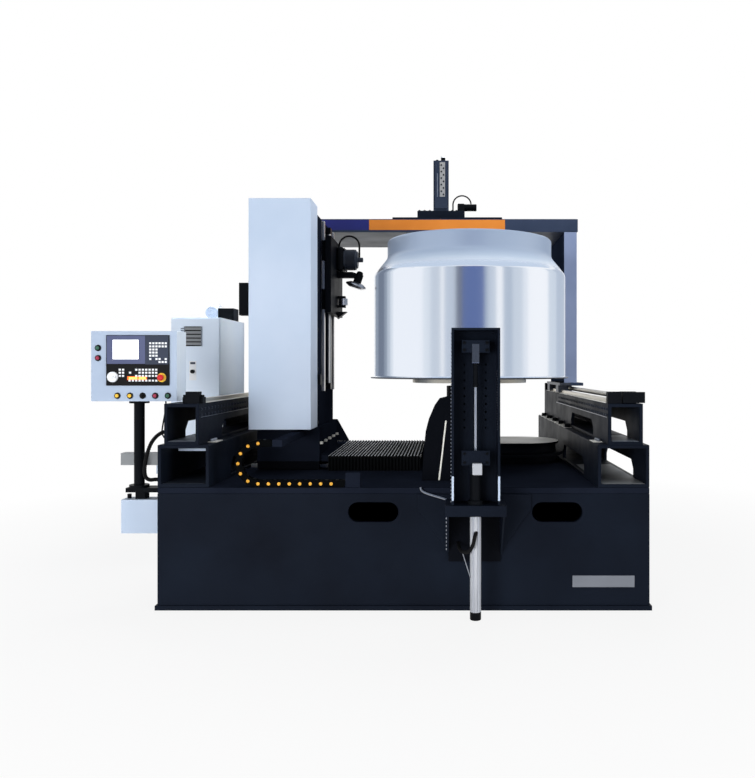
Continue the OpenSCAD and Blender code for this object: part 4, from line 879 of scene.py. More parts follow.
middle = sum(BELLOWS_Y) / 2
width = BELLOWS_Y[1] - BELLOWS_Y[0]
tall = BELLOWS_Z[1] - BELLOWS_Z[0]
fresh()
bpy.ops.mesh.primitive_plane_add(size=1, location=(BELLOWS_X[0], middle, sum(BELLOWS_Z) / 2),
                                 rotation=(0, math.pi / 2, 0))
bpy.context.object.scale = (tall, width, 1)
bellows = settle("way_bellows_folded")
edit(bellows)
bpy.ops.mesh.delete(type="ONLY_FACE")
select_edges(bellows, lambda a, b: max(a.z, b.z) < BELLOWS_Z[0] + 0.01)
bpy.ops.mesh.delete(type="EDGE")
leave_edit()
print("edges of the U", len(bellows.data.edges))

# %% [markdown]
# Now the U is drawn along the way: out at each fold, with a narrow flat where its stiffener shows, and in
# at each valley. A wave modifier would round the folds; extruding from station to station keeps them crisp.
# The sheet then gets the thickness of cloth.

# %% Pleats
PLEATS = 28
PLEAT_D = 0.018
FOLD_FLAT = 0.007
CLOTH = 0.002
edit(bellows)
in_y = (width - 2 * PLEAT_D) / width
in_z = (tall - PLEAT_D) / tall
pitch = (BELLOWS_X[1] - BELLOWS_X[0]) / PLEATS
stations = []
for k in range(PLEATS):
    stations += [(k * pitch, 0), (k * pitch + FOLD_FLAT, 0), (k * pitch + (pitch + FOLD_FLAT) / 2, 1)]
stations.append((PLEATS * pitch, 0))
for (x0, deep0), (x1, deep1) in zip(stations, stations[1:]):
    bpy.ops.mesh.extrude_region_move(TRANSFORM_OT_translate={"value": (x1 - x0, 0, 0)})
    step = deep1 - deep0
    if step:
        bpy.ops.transform.resize(value=(1, in_y ** step, in_z ** step),
                                 center_override=(BELLOWS_X[0] + x1, middle, BELLOWS_Z[0]))
bpy.ops.mesh.select_all(action="SELECT")
bpy.ops.mesh.normals_make_consistent(inside=False)
leave_edit()
cloth = bellows.modifiers.new("cloth", "SOLIDIFY")
cloth.thickness = CLOTH
cloth.offset = -1
apply_modifiers(bellows)
smooth(bellows, 25)
print("bellows faces", len(bellows.data.polygons))

# %% [markdown]
# The stiffeners show as paler lines on top of the folds, so the flats there get a second finish.

# %% Bellows' folds
FOLD_TRIM = 0.0005
# Painted shade: below this height the fold flats stay black cloth, for the shadow on the bellows' front.
FOLD_SHADE_LINE = 0.88
fold_edge = coat("fold_edge", (168, 172, 178), (222, 225, 230), 0.55, 0.3, 300)
bellows.data.materials.append(black_cloth)
bellows.data.materials.append(fold_edge)
for face in bellows.data.polygons:
    along = (face.center.x - BELLOWS_X[0]) % pitch
    on_flat = FOLD_TRIM < along < FOLD_FLAT - FOLD_TRIM
    face.material_index = 1 if on_flat and face.center.z > FOLD_SHADE_LINE else 0
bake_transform(bellows)
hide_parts("way_bellows")
print("folds", PLEATS)

# %% [markdown]
# Small parts repeat: bolts, keys, chain links. An array modifier could lay out even rows, but many places
# here are uneven. So each part is modelled once, copied to its places and joined into one piece. A bolt is
# a turned head with a hollow in its crown.

# %% Copies of one model
def joined(name, parts):
    fresh()
    for part in parts:
        part.select_set(True)
        bpy.context.view_layer.objects.active = part
    bpy.ops.object.join()
    return named(bpy.context.object, name)


def copies(name, model, places):
    parts = []
    for turn in places:
        part = model.copy()
        part.data = model.data.copy()
        part.data.transform(turn)
        bpy.context.scene.collection.objects.link(part)
        parts.append(part)
    piece = joined(name, parts)
    bpy.data.objects.remove(model)
    return piece


def bolt(radius, height):
    r, h = radius, height
    return turned_form("bolt", [(r * 0.95, 0), (r, h * 0.1), (r, h * 0.85), (r * 0.9, h), (r * 0.55, h),
                                (r * 0.5, h * 0.5), (r * 0.1, h * 0.5)], around=12)


def bolt_row(name, places, direction, material, body, radius, height):
    row = copies(name, bolt(radius, height), [pointing(direction, p) for p in places])
    return wear(smooth(row), material, body)


print("copies ready")

# %% [markdown]
# The cable chain carries the column's cables. Its links lie along the bed, turn round a bend and come back
# above. An array along a curve could lay them, but it would bend the plates. So the place of each pin is
# reckoned, and every stiff link is turned from its own pin to the next.

# %% Path of the cable chain
CHAIN_X = -0.403
CHAIN_Y = -1.62
CHAIN_Z = 0.8186
CHAIN_PITCH = 0.068
LINKS = 15
LOW_LINKS = 8
BEND_LINKS = 6
BEND_STEP = 30
BEND_X = -0.947
BEND_R = CHAIN_PITCH / (2 * math.sin(math.radians(BEND_STEP / 2)))


def chain_pin(i):
    if i <= LOW_LINKS:
        return Vector((CHAIN_X - i * CHAIN_PITCH, CHAIN_Y, CHAIN_Z))
    past = i - LOW_LINKS
    if past <= BEND_LINKS:
        turn = math.radians(BEND_STEP * past)
        return Vector((BEND_X - BEND_R * math.sin(turn), CHAIN_Y, CHAIN_Z + BEND_R - BEND_R * math.cos(turn)))
    return Vector((BEND_X + CHAIN_PITCH * (past - BEND_LINKS), CHAIN_Y, CHAIN_Z + 2 * BEND_R))


def link_turn(i):
    a, b = chain_pin(i), chain_pin(i + 1)
    return Matrix.Translation(a) @ Matrix.Rotation(-math.atan2(b.z - a.z, b.x - a.x), 4, "Y")


print("bend radius", round(BEND_R, 4))

# %% [markdown]
# A link has two obround side plates and two bars between them, and links are wide and narrow in turn, so
# that they overlap. A plate could be cut from two discs and a bar. A block whose four corners are bevelled
# until its ends are round comes to the same, and stays one clean mesh.

# %% Chain links
CHAIN_H = 0.046
PLATE_T = 0.004
BAR_T = 0.005
BAR_HALF = 0.009
WIDE_HALF = 0.025
NARROW_HALF = 0.0206


def side_plate(y0, y1):
    fresh()
    bpy.ops.mesh.primitive_cube_add(size=1, location=(CHAIN_PITCH / 2, (y0 + y1) / 2, 0))
    bpy.context.object.scale = (CHAIN_PITCH + CHAIN_H, y1 - y0, CHAIN_H)
    plate = settle("chain_plate")
    edit(plate)
    select_edges(plate, lambda a, b: abs(a.y - b.y) > 0.001)
    bpy.ops.mesh.bevel(offset=CHAIN_H * 0.49, segments=7, affect="EDGES")
    leave_edit()
    return plate


def chain_link(half):
    bars = [rounded_block("chain_bar", (CHAIN_PITCH / 2 - BAR_HALF, -half, z),
                          (CHAIN_PITCH / 2 + BAR_HALF, half, z + BAR_T), 0.001)
            for z in (-CHAIN_H / 2, CHAIN_H / 2 - BAR_T)]
    return joined("chain_link", [side_plate(-half, -half + PLATE_T), side_plate(half - PLATE_T, half)] + bars)


wide_links = copies("chain_wide_links", chain_link(WIDE_HALF), [link_turn(i) for i in range(0, LINKS, 2)])
narrow_links = copies("chain_narrow_links", chain_link(NARROW_HALF),
                      [link_turn(i) for i in range(1, LINKS, 2)])
chain = smooth(joined("cable_chain_links", [wide_links, narrow_links]))
chain_black = coat("chain_black", (3, 4, 5), (7, 8, 9), 0.55, 0.03, 120, 0.08)
chain.data.materials.append(chain_black)
print("chain faces", len(chain.data.polygons))

# %% [markdown]
# The plugs are small turned caps that stand a little proud of the wide links. A texture could paint them
# on, but they catch light as round things do.

# %% Chain plugs
plug = turned_form("plug", [(0.0095, 0), (0.0108, 0.0004), (0.0108, 0.0015), (0.008, 0.0026),
                            (0.002, 0.0028)], around=20)
plug_places = [chain_pin(i) - Vector((0, WIDE_HALF, 0)) for i in range(1, LINKS)]
plugs = copies("chain_plugs", plug, [pointing(TO_FRONT, place) for place in plug_places])
amber_plastic = coat("amber_plastic", (214, 152, 44), (236, 178, 66), 0.4, 0.3, 120, 0.04)
plugs.data.materials.append(amber_plastic)
for piece in (chain, plugs):
    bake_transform(piece)
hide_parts("cable_chain")
print("plugs", len(plug_places))

# %% [markdown]
# The numeric control is a thin plate on the panel, with a violet-grey field round the white screen and a
# darker field for keys. One plate with a picture on it could stand for all this, but thin raised plates
# keep their edges at any size. The screen gives a little light of its own.

# %% Control unit
UNIT_Y = -1.535
unit = block("control_unit_plate", (-1.985, UNIT_Y, 1.455), (-1.564, PANEL_FRONT, 1.792), 0.004,
             black_plastic, "bed")
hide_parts("control_unit")


def glow(name, inner, outer, strength):
    material, tree, shader = new_material(name)
    ramp = two_tones(tree, noise_of(tree, place_of(tree), 9), shader, inner, outer)
    shader.inputs["Roughness"].default_value = 0.25
    link(tree, ramp, "Color", shader, "Emission Color")
    shader.inputs["Emission Strength"].default_value = strength
    return material


violet = coat("violet_grey", (76, 82, 112), (92, 98, 130), 0.5, 0.2, 200, 0.05)
screen_glow = glow("screen_glow", (248, 250, 252), (255, 255, 255), 0.8)
orange_glow = glow("orange_glow", (255, 96, 20), (255, 140, 40), 0.6)
yellow_glow = glow("yellow_glow", (255, 196, 70), (255, 226, 130), 0.8)
block("screen_surround", (-1.979, UNIT_Y - 0.001, 1.6), (-1.724, UNIT_Y, 1.788), 0.0008, violet, "bed")
block("key_surround", (-1.723, UNIT_Y - 0.001, 1.596), (-1.568, UNIT_Y, 1.788), 0.0008, grey_plastic, "bed")
block("screen", (-1.939, UNIT_Y - 0.002, 1.631), (-1.767, UNIT_Y - 0.0005, 1.76), 0.0007, screen_glow, "bed")
print("control unit made")

# %% [markdown]
# The keys are small white blocks, in one group beside the screen and three below it. Each row is given by
# its height and by the columns that hold a key, because a full grid would fill the gaps too. Two of the
# lower keys stand lit in an orange field.

# %% Keys
KEY_W = 0.0135
KEY_H = 0.0125


def key_rows(x0, step, rows):
    return [(x0 + step * c, z) for z, columns in rows for c in columns]


beside_screen = ((1.7373, range(6)), (1.7161, range(6)), (1.6955, range(3)), (1.6756, range(3)),
                 (1.6543, range(3)), (1.6324, (0, 2, 3, 5)), (1.6125, (3, 4, 5)))
low_left = ((1.5613, range(2)), (1.5414, range(2)), (1.5202, range(2)))
low_right = ((1.5613, range(7)), (1.5414, range(1, 7)), (1.5202, range(7)), (1.489, range(-2, 7)))
keys = key_rows(-1.6887, 0.0206, beside_screen) + key_rows(-1.891, 0.0215, low_left)
keys += key_rows(-1.782, 0.0222, low_right) + [(-1.823, 1.5414)]
key_model = rounded_block("key", (-0.5, -0.0035, -0.5), (0.5, 0, 0.5), 0.001, 1)
key_places = [moved(x, UNIT_Y, z) @ Matrix.Diagonal((KEY_W, 1, KEY_H, 1)) for x, z in keys]
wear(smooth(copies("white_keys", key_model, key_places), 30), white_plastic, "bed")
block("lit_field", (-1.842, UNIT_Y - 0.0012, 1.493), (-1.712, UNIT_Y, 1.517), 0.001, orange_glow, "bed")
lit_keys = [rounded_block("lit_key", (x, UNIT_Y - 0.0036, 1.498), (x + w, UNIT_Y - 0.001, 1.511), 0.001)
            for x, w in ((-1.831, 0.056), (-1.765, 0.046))]
wear(joined("lit_keys", lit_keys), yellow_glow, "bed")
print("keys", len(keys))

# %% [markdown]
# The emergency stop is a red mushroom on a yellow disc, and the handwheel a white disc with a grip. Both
# are round, so both are turned, and each rides on its own joint. Eight-sided black collars stand round the
# buttons; they're turned in eight steps, which gives the flats at once.

# %% Emergency stop, handwheel and collars
STOP_AT = (-1.613, UNIT_Y, 1.509)
WHEEL_AT = (-1.936, UNIT_Y, 1.513)
GRIP_AT = (-1.912, UNIT_Y, 1.513)
ROW_STEP = 0.084
disc_profile = [(0.028, 0), (0.030, 0.001), (0.030, 0.003), (0.028, 0.004), (0.008, 0.004)]
turning("stop_disc", disc_profile, pointing(TO_FRONT, STOP_AT), 40, yellow_plastic, "bed")
mushroom_profile = [(0.006, -0.034), (0.006, 0.006), (0.012, 0.0065), (0.013, 0.016), (0.018, 0.020),
                    (0.021, 0.026), (0.0205, 0.031), (0.016, 0.036), (0.008, 0.0385), (0.001, 0.039)]
mushroom = turning("stop_mushroom", mushroom_profile, pointing(TO_FRONT, STOP_AT), 40, red_plastic,
                   "emergency_stop")
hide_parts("emergency_stop")
wheel_profile = [(0.006, -0.034), (0.006, 0.001), (0.033, 0.001), (0.035, 0.003), (0.035, 0.016),
                 (0.033, 0.019), (0.027, 0.0195), (0.025, 0.017), (0.012, 0.016), (0.010, 0.0195),
                 (0.001, 0.0198)]
grip_profile = [(0.004, 0.017), (0.005, 0.024), (0.006, 0.030), (0.005, 0.035), (0.001, 0.036)]
wheel_parts = [turned_form("wheel_disc", wheel_profile, pointing(TO_FRONT, WHEEL_AT), 48),
               turned_form("wheel_grip", grip_profile, pointing(TO_FRONT, GRIP_AT), 20)]
wheel = wear(joined("handwheel_turned", wheel_parts), white_plastic, "handwheel")
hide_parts("handwheel")
collar_profile = [(0.0118, 0.0085), (0.0118, 0.0005), (0.022, 0.0005), (0.0225, 0.003), (0.0205, 0.0085)]
collar = turned_form("collar", collar_profile, around=8, open_start=True)
collar_places = [(-1.912 + ROW_STEP * i, PANEL_FRONT, 1.388) for i in range(5)]
collar_places += [(-2.041, PANEL_FRONT, z) for z in (1.706, 1.639)]
collars = copies("button_collars", collar, [pointing(TO_FRONT, place) for place in collar_places])
wear(collars, black_plastic, "bed")
print("collars", len(collar_places))

# %% [markdown]
# The roller head's motor is a square gearbox with a finned can. The fins could be separate rings, but they
# are part of the can's profile, as they are in the casting: each fin is four points of it. The roller's hub
# has a domed cap, and leans as the roller does.

# %% Head motor
HEAD_Y = -0.15
HEAD_Z = 2.484
HUB_TILT = math.radians(18)
HUB_TOP = (-0.4530, HEAD_Y, 2.3615)
GEARBOX_X = (-0.635, -0.578)
GEARBOX_HALF = 0.1
head_body = node_body["head_motor"]


def fins(count, start, step, root, tip, width):
    """Profile points of round fins: each rises from the root to the tip and falls again."""
    starts = [start + step * k for k in range(count)]
    ends = ((root, 0), (tip, 0.001), (tip, width), (root, width + 0.001))
    return [(r, x + along) for x in starts for r, along in ends]


gearbox = block("head_gearbox", (GEARBOX_X[0], HEAD_Y - GEARBOX_HALF, HEAD_Z - GEARBOX_HALF),
                (GEARBOX_X[1], HEAD_Y + GEARBOX_HALF, HEAD_Z + GEARBOX_HALF), 0.022, black_paint, head_body,
                4)
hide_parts("head_motor")
can_profile = [(0.092, -0.578), (0.092, -0.568), (0.082, -0.566)]
can_profile += fins(8, -0.562, 0.009, 0.080, 0.088, 0.004)
can_profile += [(0.086, -0.488), (0.086, -0.482), (0.074, -0.478), (0.070, -0.467), (0.02, -0.466),
                (0.02, -0.428), (0.016, -0.424), (0.002, -0.424)]
turning("head_motor_can", can_profile, pointing(TO_RIGHT, (0, HEAD_Y, HEAD_Z)), 40, slate_paint, head_body)
gearbox_corners = [(GEARBOX_X[1], HEAD_Y + y, HEAD_Z + z) for y in (-0.078, 0.078) for z in (-0.078, 0.078)]
bolt_row("gearbox_bolts", gearbox_corners, TO_RIGHT, black_paint, head_body, 0.012, 0.010)
hub_profile = [(0.022, 0), (0.027, 0.002), (0.027, 0.012), (0.022, 0.021), (0.012, 0.026), (0.002, 0.027)]
turning("roller_hub_cap", hub_profile, pointing((math.sin(HUB_TILT), 0, math.cos(HUB_TILT)), HUB_TOP), 32,
        black_paint, head_body)
print("head motor made")

# %% [markdown]
# The motor's cable leaves the gearbox, arches over and goes into the plug at the motor's end. Hand-set
# points could draw it, but a stiff cable stands in nearly half a circle, so its route is reckoned from the
# two ends.

# %% Head cable
HEAD_CABLE_R = 0.008
ARCH_STEPS = 24


def arch(x0, x1, y, z, low0, low1):
    """A route up from low0 at x0, over half a circle that starts at z, and down to low1 at x1."""
    half, centre = (x1 - x0) / 2, (x0 + x1) / 2
    turns = [math.pi * k / ARCH_STEPS for k in range(ARCH_STEPS + 1)]
    over = [Vector((centre - half * math.cos(turn), y, z + half * math.sin(turn))) for turn in turns]
    return [Vector((x0, y, low0))] + over + [Vector((x1, y, low1))]


head_route = arch(-0.625, -0.455, HEAD_Y, HEAD_Z + 0.116, HEAD_Z + GEARBOX_HALF, HEAD_Z + 0.02)
declare_cord(cable("head_cable", head_route, HEAD_CABLE_R), head_body)

# %% [markdown]
# A small gear motor drives the tail press along the beam. It is made as the head's motor was, from a block
# and a can with its fins in the profile, and its cable arches from the slide to the motor.

# %% Gear motor of the tail press
TAIL_CABLE_R = 0.007
CASE_HALF = 0.036
tail_body = node_body["tail_cylinder"]
slide_lo, slide_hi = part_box("tail_slide")
PRESS_X = (slide_lo[0] + slide_hi[0]) / 2
PRESS_Y = (slide_lo[1] + slide_hi[1]) / 2
SLIDE_TOP = slide_hi[2]
GEAR_X = slide_hi[0] - 0.068
GEAR_Z = SLIDE_TOP + 0.056
gear_case = block("tail_gear_case", (GEAR_X, PRESS_Y - CASE_HALF, SLIDE_TOP),
                  (slide_hi[0], PRESS_Y + CASE_HALF, GEAR_Z + CASE_HALF), 0.010, black_paint, tail_body,
                  3)
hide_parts("tail_gearmotor")
tail_profile = [(0.034, 0), (0.036, 0.004)] + fins(9, 0.010, 0.010, 0.033, 0.036, 0.005)
tail_profile += [(0.035, 0.104), (0.035, 0.116), (0.030, 0.120), (0.002, 0.120)]
turning("tail_motor_can", tail_profile, pointing(TO_RIGHT, (slide_hi[0], PRESS_Y, GEAR_Z)), 32, black_paint,
        tail_body)
tail_route = arch(GEAR_X - 0.045, GEAR_X + 0.134, PRESS_Y, SLIDE_TOP + 0.085, SLIDE_TOP, GEAR_Z + 0.034)
declare_cord(cable("tail_cable", tail_route, TAIL_CABLE_R), tail_body)

# %% [markdown]
# A bright strip with two staggered rows of bolts runs up the front of the press, a thinner one beside it,
# and a white cap closes the fitting on top. Lines in the paint could hint at the strips, but thin blocks
# throw the fine shadow that makes them look bolted on.

# %% Strips and bolts of the tail press
press_lo, press_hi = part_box("tail_cylinder")
PRESS_FRONT = press_lo[1]
PRESS_TOP = SLIDE_TOP + 0.504
CAP_TOP = press_hi[2]
block("press_strip", (PRESS_X - 0.013, PRESS_FRONT - 0.003, PRESS_TOP - 0.36),
      (PRESS_X + 0.039, PRESS_FRONT, PRESS_TOP - 0.022), 0.001, rail_steel, tail_body)
block("press_side_strip", (PRESS_X - 0.040, PRESS_FRONT - 0.002, PRESS_TOP - 0.36),
      (PRESS_X - 0.032, PRESS_FRONT, PRESS_TOP - 0.13), 0.001, bolt_steel, tail_body)
staggered = [(PRESS_X + 0.002 + 0.022 * (k % 2), PRESS_FRONT - 0.003, PRESS_TOP - 0.05 - 0.032 * k)
             for k in range(10)]
bolt_row("press_bolts", staggered, TO_FRONT, black_paint, tail_body, 0.008, 0.006)
cap_profile = [(0.0232, CAP_TOP - 0.016), (0.0232, CAP_TOP), (0.020, CAP_TOP + 0.002),
               (0.002, CAP_TOP + 0.002)]
turning("press_fitting_cap", cap_profile, moved(PRESS_X + 0.02, PRESS_Y - 0.02, 0), 24, white_plastic,
        tail_body)
slide_places = [(PRESS_X + x, slide_lo[1] + 0.02, SLIDE_TOP) for x in (-0.21, -0.16, -0.11, 0.11, 0.15, 0.2)]
bolt_row("slide_bolts", slide_places, TO_TOP, black_paint, tail_body, 0.010, 0.008)
print("tail press dressed")

# %% [markdown]
# The front lift raises a channel post with a long cylinder. The barrel is a drawn alloy tube with a black
# end cap below and a black neck above, and two satin ribs run down its front. One turned form could hold
# all three, but each has its own finish, so each is its own piece.

# %% Lift barrel
LIFT_Y = -1.85
post_lo, post_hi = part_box("lift_post")
LIFT_X = (post_lo[0] + post_hi[0]) / 2
BARREL_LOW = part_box("lift_cylinder")[0][2]
on_lift = moved(LIFT_X, LIFT_Y, 0)
barrel_alloy = coat("barrel_alloy", (158, 161, 168), (198, 201, 207), 0.4, 0.5, 30, 0.04)
barrel_profile = [(0.030, BARREL_LOW + 0.045), (0.0345, BARREL_LOW + 0.05), (0.0345, 0.700), (0.030, 0.702)]
barrel = turning("lift_barrel", barrel_profile, on_lift, 40, barrel_alloy, "bed")
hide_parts("lift_cylinder")
neck_profile = [(0.030, 0.700), (0.0345, 0.702), (0.0345, 0.716), (0.050, 0.7235), (0.050, 0.745),
                (0.047, 0.748), (0.0345, 0.749), (0.0345, 0.914), (0.02, 0.914)]
turning("lift_barrel_neck", neck_profile, on_lift, 40, black_paint, "bed")
ribs = [rounded_block("barrel_rib", (LIFT_X + x, LIFT_Y - 0.0365, 0.06),
                      (LIFT_X + x + 0.010, LIFT_Y - 0.022, 0.655), 0.0015) for x in (-0.021, 0.013)]
wear(joined("barrel_ribs", ribs), satin_tube, "bed")
end_profile = [(0.033, BARREL_LOW), (0.035, BARREL_LOW + 0.002), (0.035, BARREL_LOW + 0.048),
               (0.033, BARREL_LOW + 0.05), (0.004, BARREL_LOW + 0.05)]
turning("barrel_end_cap", end_profile, on_lift, 40, black_paint, "bed")
print("barrel foot at", round(BARREL_LOW, 3))

# %% [markdown]
# Dark plates hold the barrel's head, with a small alloy valve on it. Above, the rod ends in a black
# coupling and a clevis on the moving post. All of these are plain shapes, so blocks, turned forms and bolts
# are enough.

# %% Lift head, coupling and clevis
lift_body = node_body["lift_post"]


def lift_block(name, xs, ys, zs, edge, finish, body):
    """A block whose place is given from the lift's axis."""
    block(name, (LIFT_X + xs[0], LIFT_Y + ys[0], zs[0]), (LIFT_X + xs[1], LIFT_Y + ys[1], zs[1]), edge,
          finish, body)


def lift_corners(x, y, heights):
    return [(LIFT_X + side, LIFT_Y + y, z) for side in (-x, x) for z in heights]


lift_block("lift_head_plate", (-0.0885, 0.0885), (-0.049, -0.035), (0.969, 1.061), 0.004, dark_paint, "bed")
lift_block("lift_head_block", (-0.035, 0.035), (-0.0352, 0.035), (0.914, 0.988), 0.004, dark_paint, "bed")
lift_block("lift_valve", (-0.022, 0.038), (-0.085, -0.035), (0.914, 0.985), 0.004, barrel_alloy, "bed")
bolt_row("head_plate_bolts", lift_corners(0.07, -0.049, (0.988, 1.043)), TO_FRONT, black_paint, "bed",
         0.009, 0.007)
coupling_profile = [(0.012, 1.452), (0.0175, 1.454), (0.0175, 1.475), (0.0145, 1.478), (0.0145, 1.588),
                    (0.018, 1.591), (0.018, 1.602), (0.012, 1.603)]
turning("rod_coupling", coupling_profile, on_lift, 28, black_paint, lift_body)
bolt_row("bridge_bolts", lift_corners(0.07, -0.03, (1.684, 1.729)), TO_FRONT, black_paint, lift_body,
         0.011, 0.006)
lift_block("rod_clevis", (-0.0225, 0.0225), (-0.0335, -0.03), (1.606, 1.722), 0.002, slate_paint, lift_body)
print("lift head made")

# %% [markdown]
# A rack of small teeth runs up the post's edge and another down the bracket's slope, a row of screws holds
# the post's rail, and two pale pads guide its foot. A bump could hint at the teeth, but they show in the
# outline. So each rack is one tooth and its copies.

# %% Racks and pads of the lift
GUSSET_X = LIFT_X - 0.180
tooth = rounded_block("rack_tooth", (-0.005, -0.004, -0.0045), (0.0, 0.004, 0.0045), 0.001, 1)
tooth_places = [moved(post_lo[0], post_lo[1] + 0.008, 0.75 + 0.0225 * k) for k in range(47)]
rack = copies("post_rack", tooth, tooth_places)
wear(rack, bolt_steel, lift_body)
rail_places = [(post_hi[0] - 0.014, post_lo[1] + 0.05, 1.19 + 0.0165 * k) for k in range(23)]
bolt_row("post_rail_bolts", rail_places, TO_LEFT, bolt_steel, lift_body, 0.004, 0.003)
foot_tooth = rounded_block("foot_tooth", (-0.005, -0.004, -0.006), (0.001, 0.004, 0.006), 0.001, 1)
foot_places = [moved(GUSSET_X, -1.905 + 0.027 * k, 0.645 - 0.03 * k) for k in range(9)]
foot_rack = copies("bracket_rack", foot_tooth, foot_places)
wear(foot_rack, bolt_steel, "bed")
# Painted shadow: a near-black sheet on the bracket between the gussets, where shade falls.
block("bracket_painted_shadow", (GUSSET_X + 0.012, -1.671, 0.32), (LIFT_X + 0.168, -1.6645, 0.66), 0.001,
      shade_paint, "bed")
pads = [rounded_block("post_pad", (x, post_lo[1] - 0.002, 0.755), (x + 0.013, post_lo[1], 0.905), 0.001)
        for x in (post_lo[0] + 0.001, post_hi[0] - 0.014)]
wear(joined("post_pads", pads), light_paint, lift_body)
print("racks made")

# %% [markdown]
# An oil pipe bends out of the barrel and back to the bracket, and a thin tie holds it. Pipes are stiff and
# fixed at both ends, so they aren't declared as cords: each is drawn as a cable and then turned into a
# mesh.

# %% Oil pipe of the lift
def pipe(name, route, radius, finish, body):
    pick(cable(name, route, radius))
    bpy.ops.object.convert(target="MESH")
    return wear(bpy.context.object, finish, body)


elbow_points = [(0.004, -0.030, 0.55), (-0.004, -0.05, 0.535), (-0.02, -0.056, 0.475), (-0.045, -0.05, 0.437),
                (-0.082, -0.02, 0.43), (-0.10, 0.06, 0.435), (-0.105, -1.668 - LIFT_Y, 0.44)]
elbow_route = smooth_route([(LIFT_X + x, LIFT_Y + y, z) for x, y, z in elbow_points], 36)
tie_points = ((-0.082, -0.022, 0.425), (-0.033, -0.02, 0.27))
tie_route = [Vector((LIFT_X + x, LIFT_Y + y, z)) for x, y, z in tie_points]
smooth(pipe("barrel_elbow", elbow_route, 0.012, black_rubber, "bed"))
smooth(pipe("barrel_tie", tie_route, 0.003, bolt_steel, "bed"))
print("oil pipe", round(route_length(elbow_route), 3))

# %% [markdown]
# Two plain sign strips run along the beam, a small grey plate sits low on the bed, and the beam's underside
# has a mottled pale grey plate. They could be painted faces, but a sign is a thin sheet of its own, so each
# is a block of a millimetre or two.

# %% Signs and mottled underside
BEAM_Y = 0.53
SIGN_T = 0.0015
SIGN_LOW = 2.858
SIGN_HIGH = 2.953
gantry_body = node_body["gantry_beam"]
navy_sign = coat("navy_sign", (34, 38, 104), (40, 46, 118), 0.45, 0.25, 200, 0.05)
orange_sign = coat("orange_sign", (203, 118, 42), (222, 136, 56), 0.5, 0.15, 12, 0.03)
slate_sign = coat("slate_sign", (108, 112, 120), (128, 132, 140), 0.45, 0.25, 200, 0.05)
mottled_grey = coat("mottled_grey", (96, 98, 100), (176, 178, 180), 0.55, 0.3, 5, 0.05)
block("navy_strip", (-0.907, BEAM_Y - SIGN_T, SIGN_LOW), (-0.443, BEAM_Y, SIGN_HIGH), 0.0006, navy_sign,
      gantry_body)
block("orange_strip", (-0.441, BEAM_Y - SIGN_T, SIGN_LOW), (0.822, BEAM_Y, SIGN_HIGH), 0.0006, orange_sign,
      gantry_body)
block("bed_plate", (1.0985, -1.6515, 0.1485), (1.5015, BED_FRONT, 0.2235), 0.0006, slate_sign, "bed")
block("beam_underside", (-1.36, 0.545, 2.838), (-0.10, 1.44, 2.840), 0.0008, mottled_grey, gantry_body)
print("signs made")

# %% [markdown]
# The gantry's screw turns as the gantry travels, so its thread must be real: a painted one would not seem
# to run. A small round section is carried along the axis by the screw modifier, and sits partly in the
# shaft.

# %% Thread of the gantry's screw
THREAD_PITCH = 0.040
THREAD_R = 0.005
THREAD_AT = 0.0145
PLAIN_END = 0.15
SCREW_X = 1.475
SCREW_Z = 1.38
screw_lo, screw_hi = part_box("gantry_screw")
fresh()
bpy.ops.mesh.primitive_circle_add(vertices=8, radius=THREAD_R, location=(THREAD_AT, 0, 0))
thread = settle("screw_thread")
screw = thread.modifiers.new("thread", "SCREW")
screw.axis = "Y"
screw.screw_offset = THREAD_PITCH
screw.iterations = int((screw_hi[1] - screw_lo[1] - 2 * PLAIN_END) / THREAD_PITCH)
screw.steps = 20
screw.render_steps = 20
apply_modifiers(thread)
thread.data.transform(moved(SCREW_X, screw_lo[1] + PLAIN_END, SCREW_Z))
smooth(thread, 60)
wear(thread, rail_steel, node_body["gantry_screw"])
print("thread faces", len(thread.data.polygons))

# %% [markdown]
# Both stands carry the same trim: a bright ledge, machined strips beside the rails, floors that show
# through the windows and shoes under the gantry's posts. A mirror modifier could make the second side, but
# the lower floors differ in their finish. So each row of the table is made once for each side; it gives the
# piece's reach outward, in depth and in height.

# %% Trim of the stands
LEDGE_TOP = LOW_TOP + 0.004
FOOT_TOP = LOW_TOP + 0.005
TIER_FLOOR = (LOW_TOP + 0.0232, LOW_TOP + 0.0245)
LOW_FLOOR = (BED_TOP + 0.0232, BED_TOP + 0.0245)
SIDES = ((-1, "left", slate_paint), (1, "right", stone_paint))
trim = (
    ("ledge", (1.268, 1.329), (-0.18, 1.648), (LOW_TOP, LEDGE_TOP), 0.001, cream_steel, "bright_steel"),
    ("ledge_foot", (1.2665, 1.329), (-1.47, -1.33), (LOW_TOP, FOOT_TOP), 0.001, cream_steel, "bright_steel"),
    ("way_strip", (1.332, 1.357), (-1.53, 1.55), (1.34, 1.3425), 0.0008, cream_steel, "bright_steel"),
    ("edge_line", (1.3285, 1.3305), (-1.61, 0.75), (1.248, 1.2515), 0.0005, bolt_steel, "bright_steel"),
    ("tier_floor", (1.36, 1.53), (-1.645, -1.2), TIER_FLOOR, 0.0005, grey_paint, "dark_paint"),
    ("low_floor", (1.2945, 1.568), (-1.645, -0.6), LOW_FLOOR, 0.0005, None, "dark_paint"),
    ("foot_shoe", (1.432, 1.5495), (0.5285, 1.4515), (1.4105, 1.4385), 0.002, gantry_paint, "dark_paint"))
for side, mark, low_floor in SIDES:
    for name, xs, ys, zs, edge, finish, slot in trim:
        x0, x1 = sorted(side * x for x in xs)
        body = gantry_body if name == "foot_shoe" else "bed"
        finish = finish or low_floor
        block(mark + "_" + name, (x0, ys[0], zs[0]), (x1, ys[1], zs[1]), edge, finish, body)
print("trim pieces", len(SIDES) * len(trim))

